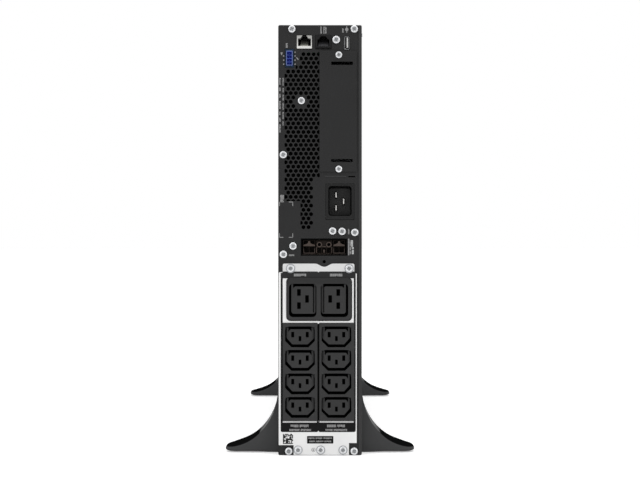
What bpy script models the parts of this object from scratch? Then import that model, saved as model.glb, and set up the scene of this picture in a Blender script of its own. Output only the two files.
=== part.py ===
"""Rack / tower uninterruptible power supply, standing as a tower on its stabiliser feet.

Frame: +X to the right when looking at the rear panel, +Y from the rear panel
towards the front bezel, +Z up.  Origin at the bottom centre of the whole unit.
Every dimension below is in millimetres; objects are written in metres.
"""

import math

import bmesh
import bpy
from mathutils import Matrix, Vector

MM = 0.001

# ---------------------------------------------------------- driving dimensions
# "Bounds" are (x_min, x_max, z_min, z_max) of an upright rectangle.
CASE_WIDTH = 84.0
HEIGHT = 432.0
HALF_WIDTH = CASE_WIDTH / 2.0
SHEET = 1.2              # thickness of the sheet metal
GAP = 0.3                # clearance between neighbouring parts
CORNER = 1.5             # bend radius of the case
PAST = 3.0               # how far a cutter reaches past what it cuts

BEZEL_FACE = 317.5
CASE_FRONT = 285.0
PANEL_FACE = -314.5      # outer plane of the rear panel
CASE_REAR = PANEL_FACE + SHEET + GAP
PLATE_THICKNESS = 1.0    # outlet plate and card cover
PLATE_FACE = PANEL_FACE - GAP - PLATE_THICKNESS

# battery bay, closed by a door held with two thumbscrews
DIVIDER_Y = -105.2
DIVIDER_Z = 218.0
PARTITION_X = (-40.4, 39.0)
DOOR_Y = 272.0
DOOR_THICKNESS = 1.5
LUG_BACK = DOOR_Y - 4.0  # sheet lugs behind the door
LUG_FRONT = LUG_BACK + SHEET
THUMB_Z = {"upper": 224.5, "lower": 8.4}
BAY_MIDDLE_Z = THUMB_Z["upper"] / 2

# screw places on the rear face, (x, z)
SCREW_HOLE_RADIUS = 1.9
COVER_SCREWS = {
    "cover_screw_top_left": (-28.2, 427.9),
    "cover_screw_top_right": (34.4, 427.9),
    "cover_screw_bottom_left": (-31.4, 4.1),
    "cover_screw_bottom_right": (34.3, 4.1),
}
PLATE_SCREWS = {
    "plate_screw_left": (-29.5, 187.5),
    "plate_screw_right": (29.2, 187.5),
}
SLOT_SCREWS = {
    "slot_screw_top": (18.9, 401.9),
    "slot_screw_bottom": (18.9, 287.3),
}

# bounds of what shows through the rear panel
C19_BOUNDS = (-33.6, 31.9, 135.1, 178.1)
C13_LEFT_BOUNDS = (-37.4, -2.6, 34.6, 132.1)
C13_RIGHT_BOUNDS = (-0.65, 34.6, 34.6, 132.1)
INLET_BOUNDS = (5.9, 34.2, 236.7, 272.4)
NETWORK_BOUNDS = (-23.5, -7.9, 408.0, 421.8)
SERIAL_BOUNDS = (-4.5, 11.2, 408.0, 421.8)
USB_BOUNDS = (24.1, 29.5, 407.2, 420.4)
EPO_BOUNDS = (-35.1, -26.1, 389.5, 408.0)
BATTERY_CONNECTOR_BOUNDS = (-19.1, 27.2, 200.6, 217.4)

# ------------------------------------------------------------------- materials
# name: (base colour, roughness, metallic)
MATERIALS = {
    "case_steel": ((0.036, 0.037, 0.038), 0.55, 0.0),
    "cover_steel": ((0.045, 0.046, 0.047), 0.5, 0.0),
    "zinc_sheet": ((0.55, 0.56, 0.57), 0.38, 1.0),
    "plate_white": ((0.78, 0.78, 0.77), 0.5, 0.0),
    "outlet_plastic": ((0.028, 0.028, 0.029), 0.45, 0.0),
    "connector_plastic": ((0.02, 0.02, 0.021), 0.5, 0.0),
    "battery_connector_plastic": ((0.022, 0.016, 0.012), 0.5, 0.0),
    "jack_shield": ((0.62, 0.6, 0.55), 0.35, 1.0),
    "screw_nickel": ((0.72, 0.72, 0.71), 0.28, 1.0),
    "epo_blue": ((0.03, 0.08, 0.42), 0.4, 0.0),
    "foot_plastic": ((0.055, 0.056, 0.058), 0.5, 0.0),
    "bezel_plastic": ((0.02, 0.02, 0.022), 0.45, 0.0),
    "display_lens_plastic": ((0.02, 0.03, 0.05), 0.08, 0.0),
    "key_plastic": ((0.12, 0.12, 0.125), 0.5, 0.0),
    "board": ((0.03, 0.14, 0.06), 0.5, 0.0),
    "heatsink_aluminium": ((0.68, 0.69, 0.7), 0.35, 1.0),
    "transformer_core": ((0.2, 0.19, 0.18), 0.5, 0.6),
    "capacitor_sleeve": ((0.03, 0.03, 0.05), 0.35, 0.0),
    "fan_plastic": ((0.03, 0.03, 0.03), 0.45, 0.0),
    "battery_cell_plastic": ((0.13, 0.13, 0.14), 0.55, 0.0),
    "strap_nylon": ((0.025, 0.025, 0.025), 0.8, 0.0),
    "cable_red": ((0.45, 0.03, 0.02), 0.5, 0.0),
    "cable_black": ((0.02, 0.02, 0.02), 0.5, 0.0),
}


def make_material(name, colour, roughness, metallic):
    made = bpy.data.materials.get(name) or bpy.data.materials.new(name)
    made.use_nodes = True
    shader = made.node_tree.nodes["Principled BSDF"]
    shader.inputs["Base Color"].default_value = (*colour, 1.0)
    shader.inputs["Roughness"].default_value = roughness
    shader.inputs["Metallic"].default_value = metallic
    made.diffuse_color = (*colour, 1.0)
    return made


# -------------------------------------------------------------------- outlines
def grow(bounds, margin):
    x_min, x_max, z_min, z_max = bounds
    return (x_min - margin, x_max + margin, z_min - margin, z_max + margin)


def centred(x, z, width, height):
    """Bounds of a rectangle about its centre."""
    return (x - width / 2, x + width / 2, z - height / 2, z + height / 2)


def rectangle(bounds):
    x_min, x_max, z_min, z_max = bounds
    return [(x_min, z_min), (x_max, z_min), (x_max, z_max), (x_min, z_max)]


def rounded(bounds, radii, steps=3):
    """Rectangle with one radius, or four: low-left, low-right, high-right, high-left."""
    if not isinstance(radii, tuple):
        radii = (radii,) * 4
    x_min, x_max, _, z_max = bounds
    outline = []
    for (x, z), start, radius in zip(rectangle(bounds), (180, 270, 0, 90), radii):
        if radius <= 0:
            outline.append((x, z))
            continue
        arc_x = x + radius if x == x_min else x - radius
        arc_z = z - radius if z == z_max else z + radius
        for i in range(steps + 1):
            angle = math.radians(start + 90.0 * i / steps)
            outline.append((arc_x + radius * math.cos(angle), arc_z + radius * math.sin(angle)))
    return outline


def polygon(across, up, radius, sides, turn=0.0):
    """Regular polygon about (across, up)."""
    angles = [turn + 2 * math.pi * i / sides for i in range(sides)]
    return [(across + radius * math.cos(a), up + radius * math.sin(a)) for a in angles]


def both_sides(low, high):
    """A span on the +X side and its mirror image on the -X side."""
    return ((low, high), (-high, -low))


# ---------------------------------------------------------------------- solids
def closed(solid):
    bmesh.ops.recalc_face_normals(solid, faces=solid.faces)
    return solid


def box(x_min, x_max, y_min, y_max, z_min, z_max):
    solid = bmesh.new()
    bmesh.ops.create_cube(solid, size=1.0)
    for vert in solid.verts:
        vert.co.x = x_min if vert.co.x < 0 else x_max
        vert.co.y = y_min if vert.co.y < 0 else y_max
        vert.co.z = z_min if vert.co.z < 0 else z_max
    return closed(solid)


def prism(points, start, end, axis="Y"):
    """Closed prism of an outline. Axis Y takes (x, z), X takes (y, z), Z takes (x, y)."""
    place = {
        "Y": lambda p, along: (p[0], along, p[1]),
        "X": lambda p, along: (along, p[0], p[1]),
        "Z": lambda p, along: (p[0], p[1], along),
    }[axis]
    solid = bmesh.new()
    low = [solid.verts.new(place(p, start)) for p in points]
    high = [solid.verts.new(place(p, end)) for p in points]
    solid.faces.new(low)
    solid.faces.new(list(reversed(high)))
    for i in range(len(points)):
        j = (i + 1) % len(points)
        solid.faces.new((low[i], high[i], high[j], low[j]))
    return closed(solid)


def slab(bounds, start, end):
    """Rectangular prism along Y."""
    return prism(rectangle(bounds), start, end)


def cylinder(across, up, radius, start, end, sides, axis="Y"):
    return prism(polygon(across, up, radius, sides), start, end, axis)


def lathe(x, z, base_y, profile, sides):
    """Turned solid about a line along Y. Profile holds (radius, y past base_y), pole to pole."""
    solid = bmesh.new()
    rows = []
    for radius, offset in profile:
        outline = polygon(x, z, radius, sides) if radius else [(x, z)]
        rows.append([solid.verts.new((px, base_y + offset, pz)) for px, pz in outline])
    for upper, lower in zip(rows, rows[1:]):
        for i in range(sides):
            j = (i + 1) % sides
            if len(upper) == 1:
                solid.faces.new((upper[0], lower[i], lower[j]))
            elif len(lower) == 1:
                solid.faces.new((upper[i], lower[0], upper[j]))
            else:
                solid.faces.new((upper[i], lower[i], lower[j], upper[j]))
    return closed(solid)


def tube(path, radius, sides=8):
    """Round rod along a polyline of points, closed at both ends."""
    solid = bmesh.new()
    rows = []
    normal = None
    for i, point in enumerate(path):
        before = (point - path[i - 1]).normalized() if i else (path[1] - point).normalized()
        after = (path[i + 1] - point).normalized() if i < len(path) - 1 else before
        along = (before + after).normalized()
        if normal is None:
            normal = along.orthogonal().normalized()
        normal = (normal - along * normal.dot(along)).normalized()
        side = along.cross(normal)
        angles = [2 * math.pi * k / sides for k in range(sides)]
        rows.append([
            solid.verts.new(point + radius * (normal * math.cos(a) + side * math.sin(a)))
            for a in angles
        ])
    for row, following in zip(rows, rows[1:]):
        for k in range(sides):
            m = (k + 1) % sides
            solid.faces.new((row[k], row[m], following[m], following[k]))
    solid.faces.new(rows[0])
    solid.faces.new(rows[-1])
    return closed(solid)


def bend(points, radius, steps=4):
    """Polyline with each inner corner replaced by an arc-like quadratic blend."""
    points = [Vector(p) for p in points]
    path = [points[0]]
    for before, corner, after in zip(points, points[1:], points[2:]):
        start = corner + (before - corner).normalized() * radius
        end = corner + (after - corner).normalized() * radius
        for i in range(steps + 1):
            t = i / steps
            path.append(start.lerp(corner, t).lerp(corner.lerp(end, t), t))
    path.append(points[-1])
    return path


def scratch_object(solid):
    """Temporary object for a Boolean; the solid is used up."""
    mesh = bpy.data.meshes.new("scratch")
    solid.to_mesh(mesh)
    solid.free()
    made = bpy.data.objects.new("scratch", mesh)
    bpy.context.scene.collection.objects.link(made)
    return made


def boolean(solid, others, operation):
    """Exact Boolean of one solid with several others."""
    group = bmesh.new()
    for other in others:
        mesh = bpy.data.meshes.new("part")
        other.to_mesh(mesh)
        group.from_mesh(mesh)
        bpy.data.meshes.remove(mesh)
        other.free()
    target = scratch_object(solid)
    cutter = scratch_object(group)
    cutter.hide_render = True
    modifier = target.modifiers.new("cut", "BOOLEAN")
    modifier.object = cutter
    modifier.operation = operation
    modifier.solver = "EXACT"
    bpy.context.view_layer.update()
    graph = bpy.context.evaluated_depsgraph_get()
    result = bpy.data.meshes.new_from_object(target.evaluated_get(graph))
    combined = bmesh.new()
    combined.from_mesh(result)
    bpy.data.meshes.remove(result)
    for made in (target, cutter):
        mesh = made.data
        bpy.data.objects.remove(made, do_unlink=True)
        bpy.data.meshes.remove(mesh)
    return combined


def cut(solid, *cutters):
    return boolean(solid, cutters, "DIFFERENCE")


def join(solid, *others):
    """Union with the others one at a time, as they may touch each other."""
    for other in others:
        solid = boolean(solid, [other], "UNION")
    return solid


def bevel_face(solid, face_y, width, segments):
    """Round the edges that lie in the front face."""
    edges = [e for e in solid.edges if all(v.co.y > face_y - 0.01 for v in e.verts)]
    bmesh.ops.bevel(solid, geom=edges, offset=width, segments=segments, profile=0.5,
                    affect="EDGES")
    return solid


# ---------------------------------------------------------------- scene objects
LOOKS = {}
BODIES = {}              # name: (empty, joint position)
MERGE_DISTANCE = 0.0005
SHARP_ANGLE = math.radians(35)


def add_body(name, at=(0.0, 0.0, 0.0), parent=None):
    """Empty at the joint axis of a group of parts that move together."""
    made = bpy.data.objects.new(name, None)
    made.empty_display_size = 0.02
    bpy.context.scene.collection.objects.link(made)
    at = Vector(at)
    if parent:
        made.parent, parent_at = BODIES[parent]
        made.location = (at - parent_at) * MM
    else:
        made.location = at * MM
    BODIES[name] = (made, at)


def add_part(name, solid, look, owner="chassis", smooth=False):
    """Write one solid as an object whose origin is its body's joint axis."""
    parent, at = BODIES[owner]
    bmesh.ops.remove_doubles(solid, verts=solid.verts, dist=MERGE_DISTANCE)
    bmesh.ops.dissolve_degenerate(solid, edges=solid.edges, dist=MERGE_DISTANCE)
    bmesh.ops.triangulate(solid, faces=solid.faces)
    to_joint = Matrix.Scale(MM, 4) @ Matrix.Translation(-at)
    bmesh.ops.transform(solid, matrix=to_joint, verts=solid.verts)
    mesh = bpy.data.meshes.new(name)
    solid.to_mesh(mesh)
    solid.free()
    made = bpy.data.objects.new(name, mesh)
    bpy.context.scene.collection.objects.link(made)
    made.parent = parent
    mesh.materials.append(LOOKS[look])
    if smooth:
        mesh.shade_smooth()
        mesh.set_sharp_from_angle(angle=SHARP_ANGLE)


def add_screws(places, face_y, head_height, head_radius, shank=9.0, owner="chassis"):
    """Pan-head screws seated on a face, heads towards -Y."""
    shank_radius = 1.5
    profile = [
        (0.0, 1.1), (1.7, 0.9), (1.9, 0.0),        # shallow recess in the head
        (head_radius * 0.72, 0.1), (head_radius, head_height * 0.55),
        (head_radius, head_height), (shank_radius, head_height),
        (shank_radius, head_height + shank), (0.0, head_height + shank + 0.8),
    ]
    for name, (x, z) in places.items():
        solid = lathe(x, z, face_y - head_height, profile, sides=12)
        add_part(name, solid, "screw_nickel", owner, smooth=True)


def thumb_hole(z, start, end):
    return cylinder(0.0, z, 2.4, start, end, 12)


# ------------------------------------------------------------ sheet-metal case
COVER_HEM_X = 38.6       # the side cover's hem on the rear face starts here
FOLD_DEPTH = 8.5         # folds along the open edges of floor and lid
FLANGE_X = (-39.5, 38.0)
FLANGE_BACK = CASE_REAR + 0.2
FLANGES_Z = ((HEIGHT - 9.1, HEIGHT - 0.6), (0.6, 9.0))
LUG_BOUNDS = (-28.0, 28.0, 0.6, 13.2)
EAR_HOLE_RADIUS = 2.1


def case_profile():
    """Floor, -X wall and lid in (x, z), with folds along the open +X side."""
    edge = HALF_WIDTH - SHEET - GAP
    inner = edge - SHEET
    wall = rounded((-HALF_WIDTH, HALF_WIDTH, 0.0, HEIGHT), (CORNER, 0, 0, CORNER))
    low_arc, high_arc = wall[:4], wall[-4:]
    return [
        (edge, 0.0),
        *reversed(low_arc),
        *reversed(high_arc),
        (edge, HEIGHT),
        (edge, HEIGHT - SHEET - FOLD_DEPTH),
        (inner, HEIGHT - SHEET - FOLD_DEPTH),
        (inner, HEIGHT - SHEET),
        (-HALF_WIDTH + SHEET, HEIGHT - SHEET),
        (-HALF_WIDTH + SHEET, SHEET),
        (inner, SHEET),
        (inner, SHEET + FOLD_DEPTH),
        (edge, SHEET + FOLD_DEPTH),
    ]


def build_case():
    flange_front = FLANGE_BACK + SHEET
    lug_left, lug_right, lug_low, lug_high = LUG_BOUNDS
    case = join(
        prism(case_profile(), CASE_REAR, CASE_FRONT),
        *[box(*FLANGE_X, FLANGE_BACK, flange_front, *span) for span in FLANGES_Z],
        box(lug_left, lug_right, LUG_BACK, LUG_FRONT, lug_low, lug_high),
    )
    screw_holes = [
        cylinder(x, z, SCREW_HOLE_RADIUS, FLANGE_BACK - PAST, flange_front + PAST, 12)
        for x, z in COVER_SCREWS.values()
    ]
    ear_holes = [
        cylinder(x, y, EAR_HOLE_RADIUS, low - PAST, low + SHEET + PAST, 10, axis="Z")
        for x in (-25.0, 25.0)
        for y in (225.0, 262.0)
        for low in (0.0, HEIGHT - SHEET)
    ]
    case = cut(
        case,
        thumb_hole(THUMB_Z["lower"], LUG_BACK - PAST, LUG_FRONT + PAST),
        *screw_holes,
        *ear_holes,
    )
    add_part("chassis_base", case, "case_steel")


def build_side_cover():
    """+X wall with a hem folded onto the rear face and rounded long edges."""
    cover = prism([
        (HALF_WIDTH, PANEL_FACE), (HALF_WIDTH, CASE_FRONT),
        (HALF_WIDTH - SHEET, CASE_FRONT), (HALF_WIDTH - SHEET, PANEL_FACE + SHEET),
        (COVER_HEM_X, PANEL_FACE + SHEET), (COVER_HEM_X, PANEL_FACE),
    ], 0.0, HEIGHT, axis="Z")
    arc_start = HALF_WIDTH - CORNER
    for z, inward in ((0.0, 1), (HEIGHT, -1)):
        outline = [
            (arc_start + CORNER * math.sin(math.radians(a)),
             z + inward * (CORNER - CORNER * math.cos(math.radians(a))))
            for a in (0, 30, 60, 90)
        ]
        outline += [
            (HALF_WIDTH + PAST, z + inward * CORNER),
            (HALF_WIDTH + PAST, z - inward * PAST),
            (arc_start, z - inward * PAST),
        ]
        cover = cut(cover, prism(outline, PANEL_FACE - PAST, CASE_FRONT + PAST))
    add_part("side_cover", cover, "cover_steel")


# ------------------------------------------------------------------ rear panel
PANEL_RIGHT = 38.2
SLOT_OPENING = (2.5, 35.0, 293.5, 395.5)
SMALL_HOLE = (4.2, 194.3)
SMALL_HOLE_RADIUS = 1.7
C19_CORNER = 3.0

# vent field of hexagonal holes in staggered rows
VENT_RADIUS = 4.0
VENT_PITCH = 10.16
VENT_ROW_PITCH = 8.69
VENT_ROWS = 16
VENT_COLUMNS = 3
VENT_FIRST = (-6.4, 396.0)
VENT_BLANK = (-18.7, 356.0, 8.5)   # round spot without holes: x, z, radius


def vent_allowed(x, z):
    """The field narrows at its top and bottom rows and leaves one round spot blank."""
    left = -19.5 if z > 386.8 else -35.0
    right = -1.6 if z > 279.0 else -8.2
    if x + VENT_RADIUS > right or x - VENT_RADIUS < left:
        return False
    blank_x, blank_z, blank_radius = VENT_BLANK
    return (x - blank_x) ** 2 + (z - blank_z) ** 2 >= blank_radius ** 2


def vent_centres():
    first_x, first_z = VENT_FIRST
    for row in range(VENT_ROWS):
        z = first_z - row * VENT_ROW_PITCH
        shift = 0.0 if row % 2 else VENT_PITCH / 2
        for column in range(VENT_COLUMNS):
            x = first_x - shift - column * VENT_PITCH
            if vent_allowed(x, z):
                yield x, z


def through(points):
    """Cutter through the rear panel and the plates on it."""
    return prism(points, PANEL_FACE - PAST, PANEL_FACE + SHEET + PAST)


def openings(*all_bounds):
    return [through(rectangle(grow(bounds, GAP))) for bounds in all_bounds]


def c19_opening():
    return through(rounded(grow(C19_BOUNDS, GAP), C19_CORNER + GAP))


def round_holes(places, radius=SCREW_HOLE_RADIUS):
    return [through(polygon(x, z, radius, 12)) for x, z in places]


def build_rear_panel():
    outline = rounded((-HALF_WIDTH, PANEL_RIGHT, 0.0, HEIGHT), (CORNER, 0, 0, CORNER))
    panel = cut(
        prism(outline, PANEL_FACE, PANEL_FACE + SHEET),
        *openings(NETWORK_BOUNDS, SERIAL_BOUNDS, USB_BOUNDS, EPO_BOUNDS, INLET_BOUNDS,
                  BATTERY_CONNECTOR_BOUNDS, C13_LEFT_BOUNDS, C13_RIGHT_BOUNDS),
        c19_opening(),
        through(rectangle(SLOT_OPENING)),
        *round_holes([SMALL_HOLE], SMALL_HOLE_RADIUS),
        *round_holes([*COVER_SCREWS.values(), *PLATE_SCREWS.values(), *SLOT_SCREWS.values()]),
    )
    vents = [through(polygon(x, z, VENT_RADIUS, 6, math.pi / 6)) for x, z in vent_centres()]
    add_part("rear_panel", cut(panel, *vents), "case_steel")


# outlet plate
PLATE_TOP = 192.4
PLATE_SHOULDER = 183.75
DIP_LOW = 189.2
DIP_HALF_WIDTH = 7.4


def plate_dip():
    """Arc in the plate's top edge that clears the panel's small hole, from +X to -X."""
    depth = PLATE_TOP - DIP_LOW
    radius = (DIP_HALF_WIDTH ** 2 + depth ** 2) / (2 * depth)
    half_angle = math.asin(DIP_HALF_WIDTH / radius)
    angles = [half_angle * (1 - i / 4) for i in range(9)]
    return [
        (SMALL_HOLE[0] + radius * math.sin(a), DIP_LOW + radius * (1 - math.cos(a)))
        for a in angles
    ]


def build_outlet_plate():
    outline = [
        (-26.5, 0.4), (29.1, 0.4), (29.1, 12.3), (37.0, 12.3),
        (37.0, PLATE_SHOULDER), (35.4, PLATE_SHOULDER), (35.4, PLATE_TOP),
        *plate_dip(),
        (-37.4, PLATE_TOP), (-37.4, PLATE_SHOULDER), (-41.7, PLATE_SHOULDER),
        (-41.7, 10.2), (-26.5, 10.2),
    ]
    plate = cut(
        prism(outline, PLATE_FACE, PLATE_FACE + PLATE_THICKNESS),
        *openings(C13_LEFT_BOUNDS, C13_RIGHT_BOUNDS),
        c19_opening(),
        *round_holes(PLATE_SCREWS.values()),
    )
    add_part("outlet_plate", plate, "plate_white")


def build_rear_screws():
    add_screws(COVER_SCREWS, PANEL_FACE - GAP / 2, head_height=2.3, head_radius=3.9)
    add_screws(PLATE_SCREWS, PLATE_FACE - 0.1, head_height=1.6, head_radius=4.1)


# --------------------------------------------------------------------- outlets
OUTLET_FACE = -316.9
OUTLET_BACK = -290.0
# Sizes are (width, height); contacts are (x, z) from the socket centre.
C19_CENTRES = ((-17.25, 155.3, 1), (14.4, 155.3, -1))   # x, z, side the contacts face
C19_RECESS = (27.0, 32.8)
C19_CORE = (21.0, 28.7)
C19_RECESS_FLOOR = -304.5
C19_CONTACTS = ((-3.6, 7.6), (4.3, 1.2), (-3.6, -5.6))
C19_CONTACT_SIZE = (2.9, 6.5)
C19_CONTACT_FLOOR = -306.0

C13_COLUMNS = {"left": (C13_LEFT_BOUNDS, -20.1), "right": (C13_RIGHT_BOUNDS, 16.5)}
C13_TOP_ROW = 118.8
C13_ROW_PITCH = 23.6
C13_RECESS = (30.3, 21.4, 6.5)     # width, height, chamfer
C13_CORE = (24.2, 16.6, 5.2)
C13_RECESS_FLOOR = -305.5
C13_CONTACTS = ((-7.3, 2.1), (7.3, 2.1), (0.0, -2.1))
C13_CONTACT_SIZE = (2.5, 5.7)
C13_CONTACT_FLOOR = -307.0


def recess_cutter(outer, core, floor):
    """Cutter for the annular recess round a socket's core."""
    return cut(prism(outer, OUTLET_FACE - PAST, floor),
               prism(core, OUTLET_FACE - 2 * PAST, floor + PAST))


def contact_cutter(x, z, size, floor):
    return slab(centred(x, z, *size), OUTLET_FACE - PAST, floor)


def keyed(x, z, width, height, chamfer):
    """Rectangle with both lower corners cut off, the shape that keys a C13 plug."""
    left, right, low, high = centred(x, z, width, height)
    return [
        (left + chamfer, low), (right - chamfer, low), (right, low + chamfer),
        (right, high), (left, high), (left, low + chamfer),
    ]


def build_c19_pair():
    cutters = []
    for x, z, side in C19_CENTRES:
        cutters.append(recess_cutter(
            rounded(centred(x, z, *C19_RECESS), 3.0),
            rounded(centred(x, z, *C19_CORE), 2.0), C19_RECESS_FLOOR))
        for dx, dz in C19_CONTACTS:
            cutters.append(contact_cutter(x + side * dx, z + dz, C19_CONTACT_SIZE,
                                          C19_CONTACT_FLOOR))
    pair = prism(rounded(C19_BOUNDS, C19_CORNER), OUTLET_FACE, OUTLET_BACK)
    add_part("c19_outlet_pair", cut(pair, *cutters), "outlet_plastic")


def build_c13_strips():
    for hand, (bounds, x) in C13_COLUMNS.items():
        cutters = []
        for row in range(4):
            z = C13_TOP_ROW - row * C13_ROW_PITCH
            cutters.append(recess_cutter(keyed(x, z, *C13_RECESS), keyed(x, z, *C13_CORE),
                                         C13_RECESS_FLOOR))
            for dx, dz in C13_CONTACTS:
                cutters.append(contact_cutter(x + dx, z + dz, C13_CONTACT_SIZE,
                                              C13_CONTACT_FLOOR))
        strip = slab(bounds, OUTLET_FACE + 0.5, OUTLET_BACK)
        add_part("c13_outlet_strip_" + hand, cut(strip, *cutters), "outlet_plastic")


# ------------------------------------------------------------------ connectors
INLET_CAVITY = (8.9, 31.6, 240.5, 270.0)
INLET_PINS = ((16.2, 261.5), (23.8, 254.9), (16.2, 248.3))
INLET_PIN_Y = (-311.0, -294.0)

PORT_FACE = -315.3       # network, serial and USB ports
JACK_BACK = -297.0
JACK_FLOOR = -300.0
# name: (bounds, opening bounds, notch (x_min, x_max, top), look)
JACKS = {
    "network_jack": (NETWORK_BOUNDS, (-21.5, -9.5, 411.2, 418.2), (-18.4, -12.6, 420.6),
                     "jack_shield"),
    "serial_jack": (SERIAL_BOUNDS, (-2.6, 9.3, 411.0, 417.8), (0.4, 6.3, 420.2),
                    "connector_plastic"),
}
USB_WALL = 0.6

EPO_PLUG_BOUNDS = (-34.2, -27.4, 391.2, 407.2)
EPO_PLUG_FACE = -316.4
EPO_PLUG_BACK = -305.3
EPO_TOP_POCKET = 404.8
EPO_POCKET_PITCH = 3.8

# battery connector: two rectangular cavities, each with a contact, and a middle group
BATTERY_CAVITIES_X = ((-17.6, -4.6), (12.7, 25.7))
BATTERY_CAVITY_Z = (202.4, 215.6)
BATTERY_CONTACTS_X = ((-15.4, -6.8), (14.9, 23.5))
BATTERY_CONTACT_Z = (207.2, 210.8)
BATTERY_MIDDLE_SLOT = (0.4, 8.0, 202.4, 206.4)


def build_inlet():
    face = PANEL_FACE - 0.5
    cavity = rounded(INLET_CAVITY, (1.0, 1.0, 3.0, 3.0))
    inlet = cut(slab(INLET_BOUNDS, face, -285.0), prism(cavity, face - PAST, -296.0))
    pins = [box(x - 1.0, x + 1.0, *INLET_PIN_Y, z - 3.6, z + 3.6) for x, z in INLET_PINS]
    add_part("ac_inlet", join(inlet, *pins), "connector_plastic")


def build_jacks():
    for name, (bounds, opening, notch, look) in JACKS.items():
        left, right, low, high = opening
        notch_left, notch_right, notch_top = notch
        mouth = prism([
            (left, low), (right, low), (right, high), (notch_right, high),
            (notch_right, notch_top), (notch_left, notch_top), (notch_left, high),
            (left, high),
        ], PORT_FACE - PAST, JACK_FLOOR)
        add_part(name, cut(slab(bounds, PORT_FACE, JACK_BACK), mouth), look)


def build_usb_port():
    left, right, low, high = grow(USB_BOUNDS, -USB_WALL)
    port = cut(slab(USB_BOUNDS, PORT_FACE, -299.0),
               box(left, right, PORT_FACE - PAST, -303.0, low, high))
    tongue = box(26.9, 28.4, -314.3, -302.0, 408.8, 418.8)
    add_part("usb_port", join(port, tongue), "jack_shield")


def build_epo():
    """Header in the panel and the separate blue plug in it."""
    face = PANEL_FACE - 0.2
    header = cut(slab(EPO_BOUNDS, face, -301.0),
                 slab(grow(EPO_PLUG_BOUNDS, GAP), face - PAST, EPO_PLUG_BACK + GAP))
    add_part("epo_header", header, "connector_plastic")

    left, right, low, high = EPO_PLUG_BOUNDS
    add_body("epo", ((left + right) / 2, EPO_PLUG_BACK, (low + high) / 2))
    pocket_rows = [EPO_TOP_POCKET - EPO_POCKET_PITCH * i for i in range(4)]
    plug = cut(
        slab(EPO_PLUG_BOUNDS, EPO_PLUG_FACE, EPO_PLUG_BACK),
        *[box(left + 1.4, right - 1.4, EPO_PLUG_FACE - PAST, -314.8, z - 1.2, z + 1.2)
          for z in pocket_rows],
    )
    add_part("epo_plug", plug, "epo_blue", "epo")


def build_battery_connector():
    face = PANEL_FACE - 0.1
    front = face - PAST
    connector = cut(
        slab(BATTERY_CONNECTOR_BOUNDS, face, -288.0),
        *[slab((*span, *BATTERY_CAVITY_Z), front, -300.0) for span in BATTERY_CAVITIES_X],
        *[cylinder(x, 211.3, 2.1, front, -303.0, 12) for x in (-0.2, 8.9)],
        slab(BATTERY_MIDDLE_SLOT, front, -304.0),
    )
    contacts = [box(*span, -312.5, -298.0, *BATTERY_CONTACT_Z) for span in BATTERY_CONTACTS_X]
    add_part("external_battery_connector", join(connector, *contacts),
             "battery_connector_plastic")


# -------------------------------------------------------------- accessory slot
CAGE_BOUNDS = (1.0, 36.6, 289.6, 399.3)
CAGE_REAR = CASE_REAR + 0.2
CAGE_FRONT = -205.0
CAGE_WALL = 1.0
SLOT_COVER_BOUNDS = (-0.5, 36.9, 284.7, 406.2)
SLOT_COVER_CENTRE_Z = 345.4
SLOT_COVER_WINDOWS = ((11.2, 33.0, 391.9, 395.2), (11.2, 33.0, 294.3, 297.4))


def build_slot():
    left, right, low, high = CAGE_BOUNDS
    cage = box(left, right, CAGE_REAR, CAGE_FRONT, low, high)
    left, right, low, high = grow(CAGE_BOUNDS, -CAGE_WALL)
    cage = cut(cage, box(left, right, CAGE_REAR - PAST, CAGE_FRONT - CAGE_WALL, low, high))
    add_part("slot_card_cage", cage, "zinc_sheet")

    centre_x = (SLOT_COVER_BOUNDS[0] + SLOT_COVER_BOUNDS[1]) / 2
    add_body("card_cover", (centre_x, PLATE_FACE, SLOT_COVER_CENTRE_Z))
    cover = cut(
        slab(SLOT_COVER_BOUNDS, PLATE_FACE, PLATE_FACE + PLATE_THICKNESS),
        *[through(rectangle(bounds)) for bounds in SLOT_COVER_WINDOWS],
        *round_holes(SLOT_SCREWS.values(), 1.7),
    )
    add_part("slot_cover", cover, "case_steel", "card_cover")
    add_screws(SLOT_SCREWS, PLATE_FACE - 0.1, head_height=1.6, head_radius=3.65, shank=8.0,
               owner="card_cover")


# ----------------------------------------------------------------- electronics
# Boxes are (x_min, x_max, y_min, y_max, z_min, z_max).
COMMS_BOARD = (-24.9, 36.0, -312.8, -230.0, 405.0, 406.6)
POWER_BOARD = (-38.6, -37.0, -288.0, 222.0, 222.0, 427.0)
POWER_BOARD_BLOCKS = (
    (-37.4, -18.0, 90.0, 150.0, 300.0, 350.0),
    (-37.4, -22.0, 100.0, 200.0, 232.0, 262.0),
    (-37.4, -28.0, -280.0, -215.0, 230.0, 262.0),
)
POWER_PARTS_X = -36.6    # where the parts in front of the power board begin

FIN_COUNT = 7
FIN_THICKNESS = 2.0
FIN_BASE_X = -32.0
FIN_TIP_X = 28.0
HEATSINK_Y = (-198.0, -128.0)
HEATSINKS_Z = {"input": (226.0, 316.0), "output": (322.0, 412.0)}

CAPACITOR_BASE = (POWER_PARTS_X, -33.0, -88.0, 40.0, 226.0, 312.0)
CAPACITOR_RADIUS = 17.0
CAPACITOR_X = (-34.0, 22.0)
TRANSFORMER_CORE = (-34.0, 34.0, -215.0, -145.0, 1.6, 96.0)
TRANSFORMER_WINDING = (-28.0, 28.0, -232.0, -128.0, 20.0, 78.0)


def build_boards():
    add_part("comms_board", box(*COMMS_BOARD), "board")
    board = join(box(*POWER_BOARD), *[box(*block) for block in POWER_BOARD_BLOCKS])
    add_part("power_board", board, "board")


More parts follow.
